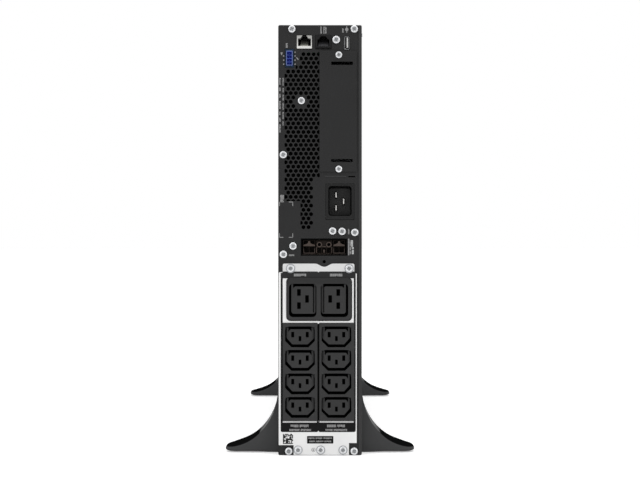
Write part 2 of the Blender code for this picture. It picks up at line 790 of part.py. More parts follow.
def comb(z_min, z_max):
    """Heatsink section in (x, z): a base by the board and fins that stand towards +X."""
    pitch = (z_max - z_min - FIN_THICKNESS) / (FIN_COUNT - 1)
    outline = [(POWER_PARTS_X, z_min), (FIN_TIP_X, z_min)]
    for i in range(FIN_COUNT - 1):
        low = z_min + i * pitch
        outline += [
            (FIN_TIP_X, low + FIN_THICKNESS), (FIN_BASE_X, low + FIN_THICKNESS),
            (FIN_BASE_X, low + pitch), (FIN_TIP_X, low + pitch),
        ]
    return outline + [(FIN_TIP_X, z_max), (POWER_PARTS_X, z_max)]


def build_power_parts():
    for which, span in HEATSINKS_Z.items():
        add_part("heatsink_" + which, prism(comb(*span), *HEATSINK_Y), "heatsink_aluminium")

    cans = [
        cylinder(y, z, CAPACITOR_RADIUS, *CAPACITOR_X, 18, axis="X")
        for y in (-66.0, -24.0, 18.0)
        for z in (247.0, 290.0)
    ]
    bank = join(box(*CAPACITOR_BASE), *cans)
    add_part("capacitor_bank", bank, "capacitor_sleeve", smooth=True)

    transformer = join(box(*TRANSFORMER_CORE), box(*TRANSFORMER_WINDING))
    add_part("transformer", transformer, "transformer_core")


# ----------------------------------------------------------------- battery bay
DIVIDER_LOW = 1.6
DIVIDER_LUG_HEIGHT = 12.0
CABLE_X = 8.0            # cables run at plus and minus this
CABLE_Z = 110.0
CABLE_BEND_Y = -116.0
# sign: (side in X, height at the power board, look)
CABLES = {
    "positive": (1, 252.0, "cable_red"),
    "negative": (-1, 236.0, "cable_black"),
}
SOCKET_BOUNDS = (-20.0, 20.0, 88.0, 132.0)
SOCKET_FRONT = -84.0
PLUG_BOUNDS = (-14.0, 14.0, 95.0, 125.0)
PLUG_BACK = -91.4

BATTERY_BOX = (-36.5, 36.5, -80.0, 262.0, 14.5, 213.0)
TRAY_WALL = 1.6
CELL_INSET = 2.0         # cells inside the battery box
CELL_GROOVE = 1.6        # width of the grooves between cells
STRAP_Z = (103.0, 124.0)
STRAP_THICKNESS = 1.5


def build_divider():
    """Wall behind the battery and shelf above it, with a lug up at the front."""
    back, wall_front = DIVIDER_Y, DIVIDER_Y + SHEET
    shelf_top = DIVIDER_Z + SHEET
    lug_top = DIVIDER_Z + DIVIDER_LUG_HEIGHT
    divider = prism([
        (back, DIVIDER_LOW), (wall_front, DIVIDER_LOW), (wall_front, DIVIDER_Z),
        (LUG_FRONT, DIVIDER_Z), (LUG_FRONT, lug_top), (LUG_BACK, lug_top),
        (LUG_BACK, shelf_top), (back, shelf_top),
    ], *PARTITION_X, axis="X")
    divider = cut(
        divider,
        thumb_hole(THUMB_Z["upper"], LUG_BACK - PAST, LUG_FRONT + PAST),
        *[cylinder(x, CABLE_Z, 3.6, back - PAST, wall_front + PAST, 12)
          for x in (-CABLE_X, CABLE_X)],
    )
    add_part("battery_divider", divider, "zinc_sheet")


def build_battery_wiring():
    socket = cut(slab(SOCKET_BOUNDS, DIVIDER_Y + SHEET + GAP, SOCKET_FRONT),
                 slab(grow(PLUG_BOUNDS, 0.6), -92.0, SOCKET_FRONT + PAST))
    add_part("battery_socket", socket, "connector_plastic")
    for which, (side, top, look) in CABLES.items():
        x = side * CABLE_X
        path = bend([
            (x, DIVIDER_Y + SHEET, CABLE_Z), (x, CABLE_BEND_Y, CABLE_Z),
            (x, CABLE_BEND_Y, top), (POWER_PARTS_X, CABLE_BEND_Y, top),
        ], 9.0)
        add_part("dc_cable_" + which, tube(path, 3.0), look, smooth=True)


def build_battery_cells():
    x_min, x_max, y_min, y_max, z_min, z_max = BATTERY_BOX
    first_y, last_y = y_min + CELL_INSET, y_max - CELL_INSET
    face = x_max - CELL_INSET
    cells = box(x_min + TRAY_WALL + GAP, face, first_y, last_y,
                z_min + CELL_INSET, z_max - CELL_INSET)
    groove_x = (face - 3.0, face + PAST)
    half = CELL_GROOVE / 2
    length = (last_y - first_y) / 4
    grooves_y = [first_y + length * i for i in (1, 2, 3)]
    cells = cut(cells, *[
        box(*groove_x, y - half, y + half, z_min - PAST, z_max + PAST) for y in grooves_y
    ])
    middle = (z_min + z_max) / 2
    cells = cut(cells, box(*groove_x, y_min - PAST, y_max + PAST, middle - half, middle + half))
    add_part("battery_cells", cells, "battery_cell_plastic", "battery")


def build_battery():
    x_min, x_max, y_min, y_max, z_min, z_max = BATTERY_BOX
    add_body("battery", (0.0, y_min, BAY_MIDDLE_Z))
    # the tray is open on its +X side
    tray = cut(box(*BATTERY_BOX), box(
        x_min + TRAY_WALL, x_max + PAST, y_min + TRAY_WALL, y_max - TRAY_WALL,
        z_min + TRAY_WALL, z_max - TRAY_WALL))
    add_part("battery_case", tray, "zinc_sheet", "battery")
    build_battery_cells()

    foot_y = y_max + GAP
    foot_top = foot_y + STRAP_THICKNESS
    top_y = y_max + 7.5
    top_inner = top_y - STRAP_THICKNESS
    strap = prism([
        (-26.0, foot_y), (-26.0, foot_top), (-19.0, foot_top), (-15.0, top_y),
        (15.0, top_y), (19.0, foot_top), (26.0, foot_top), (26.0, foot_y),
        (18.1, foot_y), (14.2, top_inner), (-14.2, top_inner), (-18.1, foot_y),
    ], *STRAP_Z, axis="Z")
    add_part("battery_strap", strap, "strap_nylon", "battery")

    plug = cut(
        slab(PLUG_BOUNDS, PLUG_BACK, y_min - GAP),
        *[box(x - 3.5, x + 3.5, PLUG_BACK - PAST, -84.0, 99.0, 121.0) for x in (-7.0, 7.0)],
    )
    add_part("battery_plug", plug, "connector_plastic", "battery")


DOOR_BOUNDS = (-38.4, 38.4, 2.2, 231.0)
DOOR_RIBS_Z = ((60.0, 63.0), (165.0, 168.0))
THUMB_SEAT = DOOR_Y + DOOR_THICKNESS + GAP
THUMB_TOP = DOOR_Y + 10.0
FLUTES = 12
FLUTE_PROFILE = ((0.0, 5.6), (0.35, 6.0), (0.65, 6.0))  # fraction of a flute, radius


def thumbscrew(z):
    """Knurled head with flutes, a plain shank and a driver slot."""
    outline = []
    for i in range(FLUTES):
        for fraction, radius in FLUTE_PROFILE:
            angle = 2 * math.pi * (i + fraction) / FLUTES
            outline.append((radius * math.cos(angle), z + radius * math.sin(angle)))
    made = join(prism(outline, THUMB_SEAT, THUMB_TOP),
                cylinder(0.0, z, 2.0, DOOR_Y - 11.0, DOOR_Y + 4.0, 12))
    return cut(made, box(-4.0, 4.0, THUMB_TOP - 1.2, THUMB_TOP + PAST, z - 0.6, z + 0.6))


def build_door():
    add_body("door", (0.0, DOOR_Y, BAY_MIDDLE_Z))
    front = DOOR_Y + DOOR_THICKNESS
    door = join(
        prism(rounded(DOOR_BOUNDS, 2.0), DOOR_Y, front),
        *[box(-30.0, 30.0, DOOR_Y + 1.0, DOOR_Y + 4.0, *span) for span in DOOR_RIBS_Z],
    )
    door = cut(door, *[thumb_hole(z, DOOR_Y - PAST, front + PAST) for z in THUMB_Z.values()])
    add_part("battery_door", door, "zinc_sheet", "door")
    for which, z in THUMB_Z.items():
        owner = "thumb_" + which
        add_body(owner, (0.0, THUMB_SEAT, z), "door")
        add_part("thumbscrew_" + which, thumbscrew(z), "screw_nickel", owner, smooth=True)


# ------------------------------------------------------------------------ fans
FAN_SIZE = 80.0
FAN_DEPTH = 25.0
FAN_Y = 232.6
FAN_Z = {"lower": 263.0, "upper": 347.0}
FAN_BLADES = 7
BLADE_PITCH = math.radians(38)
ROTOR_Y = FAN_Y + 3.8
# (radius, y) from FAN_Y: motor mount and its spindle
MOUNT_PROFILE = ((0.0, 0.2), (15.0, 0.2), (15.0, 3.0), (1.6, 3.0), (1.6, 16.0), (0.0, 16.0))
# (radius, y) from ROTOR_Y: cup with a bore for the spindle
ROTOR_PROFILE = (
    (0.0, 16.2), (2.0, 16.2), (2.0, 0.0), (16.0, 0.0), (16.0, 18.5), (14.0, 20.0), (0.0, 20.0),
)


def build_fan_bracket():
    front = FAN_Y - GAP
    back = front - SHEET
    bracket = cut(
        box(*PARTITION_X, back, front, DIVIDER_Z + SHEET + 0.4, HEIGHT - SHEET - 1.0),
        *[cylinder(0.0, z, 36.5, back - PAST, front + PAST, 28) for z in FAN_Z.values()],
    )
    add_part("fan_bracket", bracket, "zinc_sheet")


def fan_frame(z):
    back, front = FAN_Y, FAN_Y + FAN_DEPTH
    outline = rounded(centred(0.0, z, FAN_SIZE, FAN_SIZE), 3.0, steps=2)
    frame = cut(prism(outline, back, front),
                cylinder(0.0, z, 38.2, back - PAST, front + PAST, 32))
    spokes = []
    for i in range(4):
        spoke = box(12.0, 39.0, FAN_Y + 0.5, FAN_Y + 2.7, -1.8, 1.8)
        place = (Matrix.Translation((0, 0, z))
                 @ Matrix.Rotation(math.radians(45 + 90 * i), 4, "Y"))
        bmesh.ops.transform(spoke, matrix=place, verts=spoke.verts)
        spokes.append(spoke)
    return join(frame, join(lathe(0.0, z, FAN_Y, MOUNT_PROFILE, sides=18), *spokes))


def fan_rotor(z):
    blades = []
    for i in range(FAN_BLADES):
        blade = box(14.5, 36.4, -8.2, 8.2, -0.9, 0.9)
        place = (Matrix.Translation((0, ROTOR_Y + 10.2, z))
                 @ Matrix.Rotation(2 * math.pi * i / FAN_BLADES, 4, "Y")
                 @ Matrix.Rotation(BLADE_PITCH, 4, "X"))
        bmesh.ops.transform(blade, matrix=place, verts=blade.verts)
        blades.append(blade)
    return join(lathe(0.0, z, ROTOR_Y, ROTOR_PROFILE, sides=18), *blades)


def build_fans():
    build_fan_bracket()
    for which, z in FAN_Z.items():
        add_part("fan_frame_" + which, fan_frame(z), "fan_plastic")
        add_body("rotor_" + which, (0.0, ROTOR_Y, z))
        add_part("fan_rotor_" + which, fan_rotor(z), "fan_plastic", "rotor_" + which)


# --------------------------------------------------------------------- display
TILT_Y = 308.5           # the display tilts about a line along X
TILT_Z = 403.0
BRACKET_BACK = 281.0
BRACKET_BOUNDS = (-39.0, 38.6, 236.0, 427.8)
BRACKET_WINDOWS = ((-28.0, 28.0, 245.0, 318.0), (-20.0, 20.0, 340.0, 392.0))
DISPLAY_BOUNDS = (-30.0, 30.0, 330.0, 410.0)
DISPLAY_BACK = 301.0
DISPLAY_FACE = 316.3
DISPLAY_SIDE_WALL = 2.0
DISPLAY_FRONT_WALL = 2.5
LENS_BOUNDS = (-24.2, 24.2, 361.8, 402.7)
LENS_LEDGE = 2.2
KEYS = {
    "key_power": (-17.0, 351.5),
    "key_mute": (0.0, 351.5),
    "key_escape": (17.0, 351.5),
    "key_up": (-17.0, 340.0),
    "key_down": (0.0, 340.0),
    "key_ok": (17.0, 340.0),
}
KEY_SIZE = (10.0, 5.4)
KEY_CORNER = 1.5
KEY_CLEARANCE = 0.4
KEY_FLANGE = 1.2         # rim that holds the key behind the housing


def build_display_bracket():
    """Upright sheet with two windows, and arms with pins that carry the display."""
    front = BRACKET_BACK + SHEET
    windows = []
    for left, right, low, high in BRACKET_WINDOWS:
        windows.append(box(left, right, BRACKET_BACK - PAST, front + PAST, low, high))
    left, right, low, high = BRACKET_BOUNDS
    bracket = cut(box(left, right, BRACKET_BACK, front, low, high), *windows)
    bracket = join(
        bracket,
        *[box(*span, BRACKET_BACK + 0.5, TILT_Y + 4.0, TILT_Z - 5.0, TILT_Z + 5.0)
          for span in both_sides(31.2, 33.2)],
        *[cylinder(TILT_Y, TILT_Z, 1.5, *span, 10, axis="X")
          for span in both_sides(28.6, 32.2)],
    )
    add_part("display_bracket", bracket, "zinc_sheet")


def build_display_housing():
    wall_back = DISPLAY_FACE - DISPLAY_FRONT_WALL
    inside = rounded(grow(DISPLAY_BOUNDS, -DISPLAY_SIDE_WALL), 2.5)
    shell = prism(rounded(DISPLAY_BOUNDS, 4.0), DISPLAY_BACK, DISPLAY_FACE)
    shell = bevel_face(shell, DISPLAY_FACE, width=1.6, segments=2)
    shell = cut(shell, prism(inside, DISPLAY_BACK - PAST, wall_back))
    # recess for the lens and holes for the tilt pins
    shell = cut(
        shell,
        slab(grow(LENS_BOUNDS, 0.25), DISPLAY_FACE - 1.5, DISPLAY_FACE + PAST),
        *[cylinder(TILT_Y, TILT_Z, 1.9, *span, 10, axis="X")
          for span in both_sides(26.0, 33.0)],
    )
    through_wall = (wall_back - PAST, DISPLAY_FACE + PAST)
    left, right, low, high = grow(LENS_BOUNDS, -LENS_LEDGE)
    cutters = [box(left, right, *through_wall, low, high)]
    for x, z in KEYS.values():
        hole = grow(centred(x, z, *KEY_SIZE), KEY_CLEARANCE)
        cutters.append(prism(rounded(hole, KEY_CORNER + KEY_CLEARANCE, 2), *through_wall))
    add_part("display_housing", cut(shell, *cutters), "bezel_plastic", "display")


def build_keys():
    for name, (x, z) in KEYS.items():
        axis = name + "_axis"
        add_body(axis, (x, DISPLAY_FACE, z), "display")
        bounds = centred(x, z, *KEY_SIZE)
        left, right, low, high = grow(bounds, KEY_FLANGE)
        cap = join(
            prism(rounded(bounds, KEY_CORNER, 2), DISPLAY_FACE - 6.3, DISPLAY_FACE + 0.8),
            box(left, right, DISPLAY_FACE - 5.0, DISPLAY_FACE - 2.9, low, high),
        )
        add_part(name, cap, "key_plastic", axis)


def build_display():
    add_body("display", (0.0, TILT_Y, TILT_Z))
    build_display_bracket()
    build_display_housing()
    lens = slab(LENS_BOUNDS, DISPLAY_FACE - 1.3, DISPLAY_FACE - 0.1)
    add_part("display_lens", lens, "display_lens_plastic", "display")
    build_keys()


# ----------------------------------------------------------------------- bezel
BEZEL_WALL = 2.2
BEZEL_WINDOW = (-34.3, 34.3, 326.0, 414.5)
TAB_Y = (CASE_FRONT - 6.0, CASE_FRONT + 8.0)
TAB_INSET = 1.6
TAB_THICKNESS = 1.9
GRILLE_ROWS = range(30, 312, 12)


def build_bezel():
    add_body("bezel", (0.0, CASE_FRONT, HEIGHT / 2))
    outer = (-HALF_WIDTH, HALF_WIDTH, 0.0, HEIGHT)
    back = CASE_FRONT + GAP
    wall_back = BEZEL_FACE - BEZEL_WALL
    bezel = prism(rounded(outer, 4.0), back, BEZEL_FACE)
    bezel = bevel_face(bezel, BEZEL_FACE, width=3.6, segments=3)
    bezel = cut(bezel, prism(rounded(grow(outer, -BEZEL_WALL), 2.5), back - PAST, wall_back))
    # tabs that reach into the case
    bezel = join(bezel, *[
        box(x - 8.0, x + 8.0, *TAB_Y, z, z + TAB_THICKNESS)
        for x in (-27.0, 27.0)
        for z in (TAB_INSET, HEIGHT - TAB_INSET - TAB_THICKNESS)
    ])
    through_wall = (wall_back - PAST, BEZEL_FACE + PAST)
    left, right, low, high = BEZEL_WINDOW
    bezel = cut(
        bezel,
        box(left, right, *through_wall, low, high),
        *[prism(rounded((-31.0, 31.0, z, z + 5.0), 2.4, 2), *through_wall)
          for z in GRILLE_ROWS],
    )
    add_part("front_bezel", bezel, "bezel_plastic", "bezel")


# ------------------------------------------------------------------------ feet
FOOT_TIP = 96.3
FOOT_RISE = 72.0
FOOT_LIP = 6.0           # height of the toe
FOOT_LIP_INSET = 0.3
FOOT_EXPONENT = 2.11
FOOT_DEPTH = 49.0
TOE_NEAR = 4.0           # toe corner towards the rear panel, seen from above
TOE_FAR = (20.3, 36.6)   # quarter-ellipse at the toe's other corner, X and Y radii
FOOT_Y = {"rear": -295.0, "front": 205.0}


def foot_outline(steps=12):
    """Hollow superelliptic sweep in (x, z) between a blunt toe and the case."""
    inner = HALF_WIDTH + GAP
    lip_x = FOOT_TIP - FOOT_LIP_INSET
    outline = [
        (inner, 0.0), (FOOT_TIP - 8.0, 0.0), (FOOT_TIP - 3.6, 0.5),
        (FOOT_TIP - 1.1, 1.5), (FOOT_TIP, 3.4),
    ]
    power = 2 / FOOT_EXPONENT
    for i in range(steps + 1):
        angle = math.pi / 2 * i / steps
        x = lip_x - (lip_x - inner) * math.sin(angle) ** power
        z = FOOT_RISE - (FOOT_RISE - FOOT_LIP) * math.cos(angle) ** power
        outline.append((x, z))
    return outline


def toe_cutter(side, y):
    """What lies outside the toe seen from above: a small near corner and a long far one."""
    reach, sweep = TOE_FAR
    end = y + FOOT_DEPTH
    outline = [
        (FOOT_TIP - TOE_NEAR, y - PAST), (FOOT_TIP + PAST, y - PAST),
        (FOOT_TIP + PAST, end + PAST), (FOOT_TIP - reach, end + PAST),
    ]
    for i in range(11):
        angle = math.pi / 2 * (1 - i / 10)
        outline.append((FOOT_TIP - reach + reach * math.cos(angle),
                        end - sweep + sweep * math.sin(angle)))
    for i in range(5):
        angle = math.pi / 2 * i / 4
        outline.append((FOOT_TIP - TOE_NEAR + TOE_NEAR * math.cos(angle),
                        y + TOE_NEAR - TOE_NEAR * math.sin(angle)))
    mirrored = [(side * px, py) for px, py in outline]
    return prism(mirrored, -PAST, FOOT_RISE + PAST, axis="Z")


def build_feet():
    for where, y in FOOT_Y.items():
        for hand, side in (("left", -1), ("right", 1)):
            outline = [(side * x, z) for x, z in foot_outline()]
            foot = cut(prism(outline, y, y + FOOT_DEPTH), toe_cutter(side, y))
            add_part("foot_%s_%s" % (where, hand), foot, "foot_plastic", smooth=True)


def main():
    for old in list(bpy.data.objects):
        bpy.data.objects.remove(old, do_unlink=True)
    for name, values in MATERIALS.items():
        LOOKS[name] = make_material(name, *values)
    add_body("chassis")
    build_case()
    build_side_cover()
    build_rear_panel()
    build_outlet_plate()
    build_rear_screws()
    build_c19_pair()
    build_c13_strips()
    build_inlet()
    build_jacks()
    build_usb_port()
    build_epo()
    build_battery_connector()
    build_slot()
    build_boards()
    build_power_parts()
    build_divider()
    build_battery_wiring()
    build_battery()
    build_door()
    build_fans()
    build_display()
    build_bezel()
    build_feet()


main()
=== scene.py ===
"""Looks of a rack / tower uninterruptible power supply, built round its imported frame.

Lengths in the helpers are millimetres; the frame and every object are in metres.
+X is right when looking at the rear panel, +Y runs from the rear panel to the front
bezel, +Z is up. Outlines are lists of (x, z) points unless a comment says otherwise.
"""

import math
import random
from collections import namedtuple
from functools import partial

import bmesh
import bpy
from mathutils import Matrix, Vector


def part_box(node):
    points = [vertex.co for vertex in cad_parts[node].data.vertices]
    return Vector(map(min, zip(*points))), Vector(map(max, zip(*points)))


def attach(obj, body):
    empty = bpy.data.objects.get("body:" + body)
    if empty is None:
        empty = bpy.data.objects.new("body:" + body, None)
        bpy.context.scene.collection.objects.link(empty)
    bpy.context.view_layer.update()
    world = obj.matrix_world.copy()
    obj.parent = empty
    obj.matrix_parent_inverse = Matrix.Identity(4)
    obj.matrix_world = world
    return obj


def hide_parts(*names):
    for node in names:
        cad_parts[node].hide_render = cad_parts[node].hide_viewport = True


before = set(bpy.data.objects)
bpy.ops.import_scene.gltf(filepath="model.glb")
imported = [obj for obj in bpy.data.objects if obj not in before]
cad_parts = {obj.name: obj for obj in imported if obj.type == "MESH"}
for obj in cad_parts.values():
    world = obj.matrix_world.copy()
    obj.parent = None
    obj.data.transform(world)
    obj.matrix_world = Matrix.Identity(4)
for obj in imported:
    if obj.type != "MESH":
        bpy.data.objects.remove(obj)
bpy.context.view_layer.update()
MM = 0.001

Box = namedtuple("Box", "x0 x1 y0 y1 z0 z1")
Area = namedtuple("Area", "x0 x1 z0 z1")


def cad(node):
    """A node's box in millimetres."""
    lo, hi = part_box(node)
    return Box(*(v * 1000.0 for v in (lo.x, hi.x, lo.y, hi.y, lo.z, hi.z)))


def area_of(node):
    """A node's extent as seen from the rear."""
    found = cad(node)
    return Area(found.x0, found.x1, found.z0, found.z1)


def grow(area, margin):
    return Area(area.x0 - margin, area.x1 + margin, area.z0 - margin, area.z1 + margin)


PANEL = cad("rear_panel")
PLATE = cad("outlet_plate")
Y_PANEL = PANEL.y0             # rear faces of the panel and of the outlet plate
Y_PLATE = PLATE.y0
HEIGHT = PANEL.z1
HALF_WIDTH = -PANEL.x0
Y_FRONT = cad("front_bezel").y1
Y_BEZEL_BACK = 285.3
LABEL_THICK = 0.12
INK_THICK = 0.05
Y_LABEL = Y_PLATE - LABEL_THICK  # printing on the black label sits on this plane


# ===================================================================== materials
def grey(level):
    return (level, level, level)


def scaled(colour, factor):
    return tuple(c * factor for c in colour)


class Recipe:
    """A material in the making: its node tree, main shader and object coordinates."""

    def __init__(self, name):
        self.material = bpy.data.materials.new(name)
        self.material.use_nodes = True
        self.tree = self.material.node_tree
        self.shader = self.tree.nodes["Principled BSDF"]
        self.coords = self.add("ShaderNodeTexCoord").outputs["Object"]

    def add(self, kind, **values):
        """A new node; each value goes to the input of that name, or else the property."""
        node = self.tree.nodes.new(kind)
        for key, value in values.items():
            if key in node.inputs:
                node.inputs[key].default_value = value
            else:
                setattr(node, key, value)
        return node

    def feed(self, value, socket):
        """Link an output to a socket, or set the socket to a colour or a number."""
        if isinstance(value, bpy.types.NodeSocket):
            self.tree.links.new(value, socket)
        else:
            socket.default_value = (*value, 1.0) if isinstance(value, tuple) else value

    def set(self, **values):
        """Feed the main shader; underscores stand for spaces in the input names."""
        for key, value in values.items():
            self.feed(value, self.shader.inputs[key.replace("_", " ")])

    def noise(self, scale, detail=3.0, rough=0.55, stretch=None):
        source = self.coords
        if stretch:
            mapping = self.add("ShaderNodeMapping", Scale=stretch)
            self.feed(source, mapping.inputs["Vector"])
            source = mapping.outputs["Vector"]
        node = self.add("ShaderNodeTexNoise", Scale=scale, Detail=detail, Roughness=rough)
        self.feed(source, node.inputs["Vector"])
        return node.outputs["Fac"]

    def remap(self, value, span, to=(0.0, 1.0)):
        node = self.add("ShaderNodeMapRange")
        for key, number in zip(("From Min", "From Max", "To Min", "To Max"), (*span, *to)):
            node.inputs[key].default_value = number
        self.feed(value, node.inputs["Value"])
        return node.outputs["Result"]

    def mix(self, factor, first, second):
        node = self.add("ShaderNodeMix", data_type="RGBA")
        self.feed(first, node.inputs[6])
        self.feed(second, node.inputs[7])
        self.feed(factor, node.inputs[0])
        return node.outputs[2]

    def math(self, operation, first, second):
        node = self.add("ShaderNodeMath", operation=operation)
        self.feed(first, node.inputs[0])
        self.feed(second, node.inputs[1])
        return node.outputs[0]

    def height_of(self, vector):
        node = self.add("ShaderNodeSeparateXYZ")
        self.feed(vector, node.inputs[0])
        return node.outputs["Z"]

    def upward(self):
        """1 on level faces that look up, 0 on upright ones."""
        return self.height_of(self.add("ShaderNodeNewGeometry").outputs["Normal"])

    def edge_mask(self, radius):
        """1 on outer and inner edges, 0 on flat faces."""
        bevel = self.add("ShaderNodeBevel", samples=4, Radius=radius)
        geometry = self.add("ShaderNodeNewGeometry")
        dot = self.add("ShaderNodeVectorMath", operation="DOT_PRODUCT")
        self.feed(bevel.outputs["Normal"], dot.inputs[0])
        self.feed(geometry.outputs["Normal"], dot.inputs[1])
        return self.remap(dot.outputs["Value"], span=(0.995, 0.55))

    def set_bump(self, node, height):
        self.feed(height, node.inputs["Height"])
        self.set(Normal=node.outputs["Normal"])


ROUGH_SPREAD = 0.07      # how far roughness strays either way
WORN_ROUGH = 0.35        # roughness of rubbed edges
DUST_COLOUR = (0.2, 0.19, 0.18)


def surface(name, colour, rough, spec=0.5, metallic=0.0, tone=0.12, blotch=22.0,
            grain=1100.0, bump=0.12, depth=0.00012, stretch=None,
            wear=None, wear_amount=0.6, wear_radius=0.0006, coat=0.0,
            second=None, second_scale=260.0, dust=0.0, specks=0.0, shade_top=0.0, height_shade=None):
    """Finish with blotchy tone, fine grain bump, broken roughness and rubbed edges.

    tone: strength of the blotches, whose scale is blotch; second: a mottled second colour;
    wear: colour of rubbed edges; fade: painted shade, given as start height, end height and amount
    of darkening (metres); shade_top: painted shade on faces that look up; depth: bump height in
    metres.
    """
    mat = Recipe(name)
    blotches = mat.noise(blotch, detail=4.0)
    dark = scaled(colour, 1.0 - tone)
    light = tuple(min(1.0, c * (1.0 + tone)) for c in colour)
    out = mat.mix(mat.remap(blotches, span=(0.3, 0.7)), dark, light)
    if second:
        mottle = mat.noise(second_scale, detail=2.0)
        out = mat.mix(mat.remap(mottle, span=(0.45, 0.75), to=(0.0, 0.5)), out, second)
    if specks:
        spot = mat.noise(2300.0, detail=1.0)
        out = mat.mix(mat.remap(spot, span=(0.66, 0.74), to=(0.0, specks)), out,
                      tuple(min(1.0, c * 3.0 + 0.02) for c in colour))
    if dust:
        dust_and_top_shade = mat.remap(mat.upward(), span=(0.5, 1.0), to=(0.0, dust))
        patches = mat.remap(mat.noise(45.0, detail=5.0), span=(0.3, 0.7), to=(0.2, 1.0))
        out = mat.mix(mat.math("MULTIPLY", dust_and_top_shade, patches), out, DUST_COLOUR)
    # Painted shade: the colour darkens upwards between two heights.
    if height_shade:
        start, end, amount = height_shade
        shade_climb = mat.remap(mat.height_of(mat.coords), span=(start, end), to=(0.0, amount))
        out = mat.mix(shade_climb, out, scaled(colour, 0.02))
    mat.set(Specular_IOR_Level=spec)
    # Painted shade on faces that look up.
    if shade_top:
        dust_and_top_shade = mat.remap(mat.upward(), span=(0.4, 0.74), to=(0.0, shade_top))
        out = mat.mix(dust_and_top_shade, out, scaled(colour, 0.1))
        mat.set(Specular_IOR_Level=mat.remap(dust_and_top_shade, span=(0.0, shade_top * 0.95), to=(spec, 0.0)))
    fine = mat.noise(grain, detail=2.0, rough=0.6, stretch=stretch)
    rough_out = mat.remap(mat.noise(blotch * 4.0), span=(0.3, 0.7),
                          to=(rough - ROUGH_SPREAD, rough + ROUGH_SPREAD))
    if wear:
        mask = mat.edge_mask(wear_radius)
        broken = mat.remap(mat.noise(210.0, detail=4.0), span=(0.42, 0.62), to=(0.15, 1.0))
        mask = mat.math("MULTIPLY", mask, broken)
        mask = mat.math("MULTIPLY", mask, wear_amount)
        out = mat.mix(mask, out, wear)
        change = mat.math("MULTIPLY", mask, WORN_ROUGH - rough)
        rough_out = mat.math("ADD", rough_out, change)
    mat.set(Base_Color=out, Roughness=rough_out, Metallic=metallic,
            Coat_Weight=coat, Coat_Roughness=0.15)
    mat.set_bump(mat.add("ShaderNodeBump", Strength=bump, Distance=depth), fine)
    return mat.material


def ink(name, colour, rough=0.6):
    """Screen-printed ink: slightly broken cover over the surface below it."""
    mat = Recipe(name)
    worn = mat.remap(mat.noise(1500.0), span=(0.35, 0.6))
    mat.set(Base_Color=mat.mix(worn, scaled(colour, 0.62), colour),
            Roughness=rough, Specular_IOR_Level=0.3)
    bump = mat.add("ShaderNodeBump", Strength=0.1, Distance=0.00003)
    mat.set_bump(bump, mat.noise(1800.0, detail=2.0))
    return mat.material


def lcd_material():
    """Display glass: dark blue field in two soft tones under a glossy coat."""
    mat = Recipe("display_glass")
    tint = mat.remap(mat.noise(9.0, detail=2.0), span=(0.3, 0.7))
    mat.set(Base_Color=mat.mix(tint, (0.006, 0.011, 0.024), (0.014, 0.024, 0.05)))
    smear = mat.remap(mat.noise(60.0, detail=5.0), span=(0.4, 0.75), to=(0.06, 0.2))
    mat.set(Roughness=smear, Coat_Weight=0.6, Coat_Roughness=0.04)
    bump = mat.add("ShaderNodeBump", Strength=0.03, Distance=0.00002)
    mat.set_bump(bump, mat.noise(300.0, detail=2.0))
    return mat.material


# Settings shared by families of finishes.
POWDER = dict(grain=1500.0, bump=0.32, depth=0.00008, tone=0.1, wear_amount=0.45,
              specks=0.1, dust=0.12)
LABEL = dict(rough=0.5, grain=2200.0, bump=0.06, depth=0.00003, wear=grey(0.05),
             wear_amount=0.3, wear_radius=0.0003)
OUTLET = dict(colour=(0.02, 0.02, 0.0203), rough=0.5, spec=0.36, tone=0.1, grain=2600.0,
              bump=0.3, depth=0.00004, wear=grey(0.075), wear_amount=0.5, wear_radius=0.0005)
CONNECTOR = dict(rough=0.5, grain=2200.0, depth=0.00004, wear_amount=0.4)
BROWN = dict(tone=0.2, grain=1800.0, bump=0.2, depth=0.00005)
BROWN_RUBBED = dict(BROWN, rough=0.46, spec=0.4, wear_radius=0.0005)
JACK_FLOOR = dict(spec=0.2, grain=900.0, bump=0.2)
BLUE = dict(grain=1500.0, bump=0.12)
CABLE = dict(rough=0.45, spec=0.5, grain=700.0, bump=0.15)
LAMP = dict(rough=0.2, spec=0.6, coat=0.5, grain=900.0, bump=0.03)

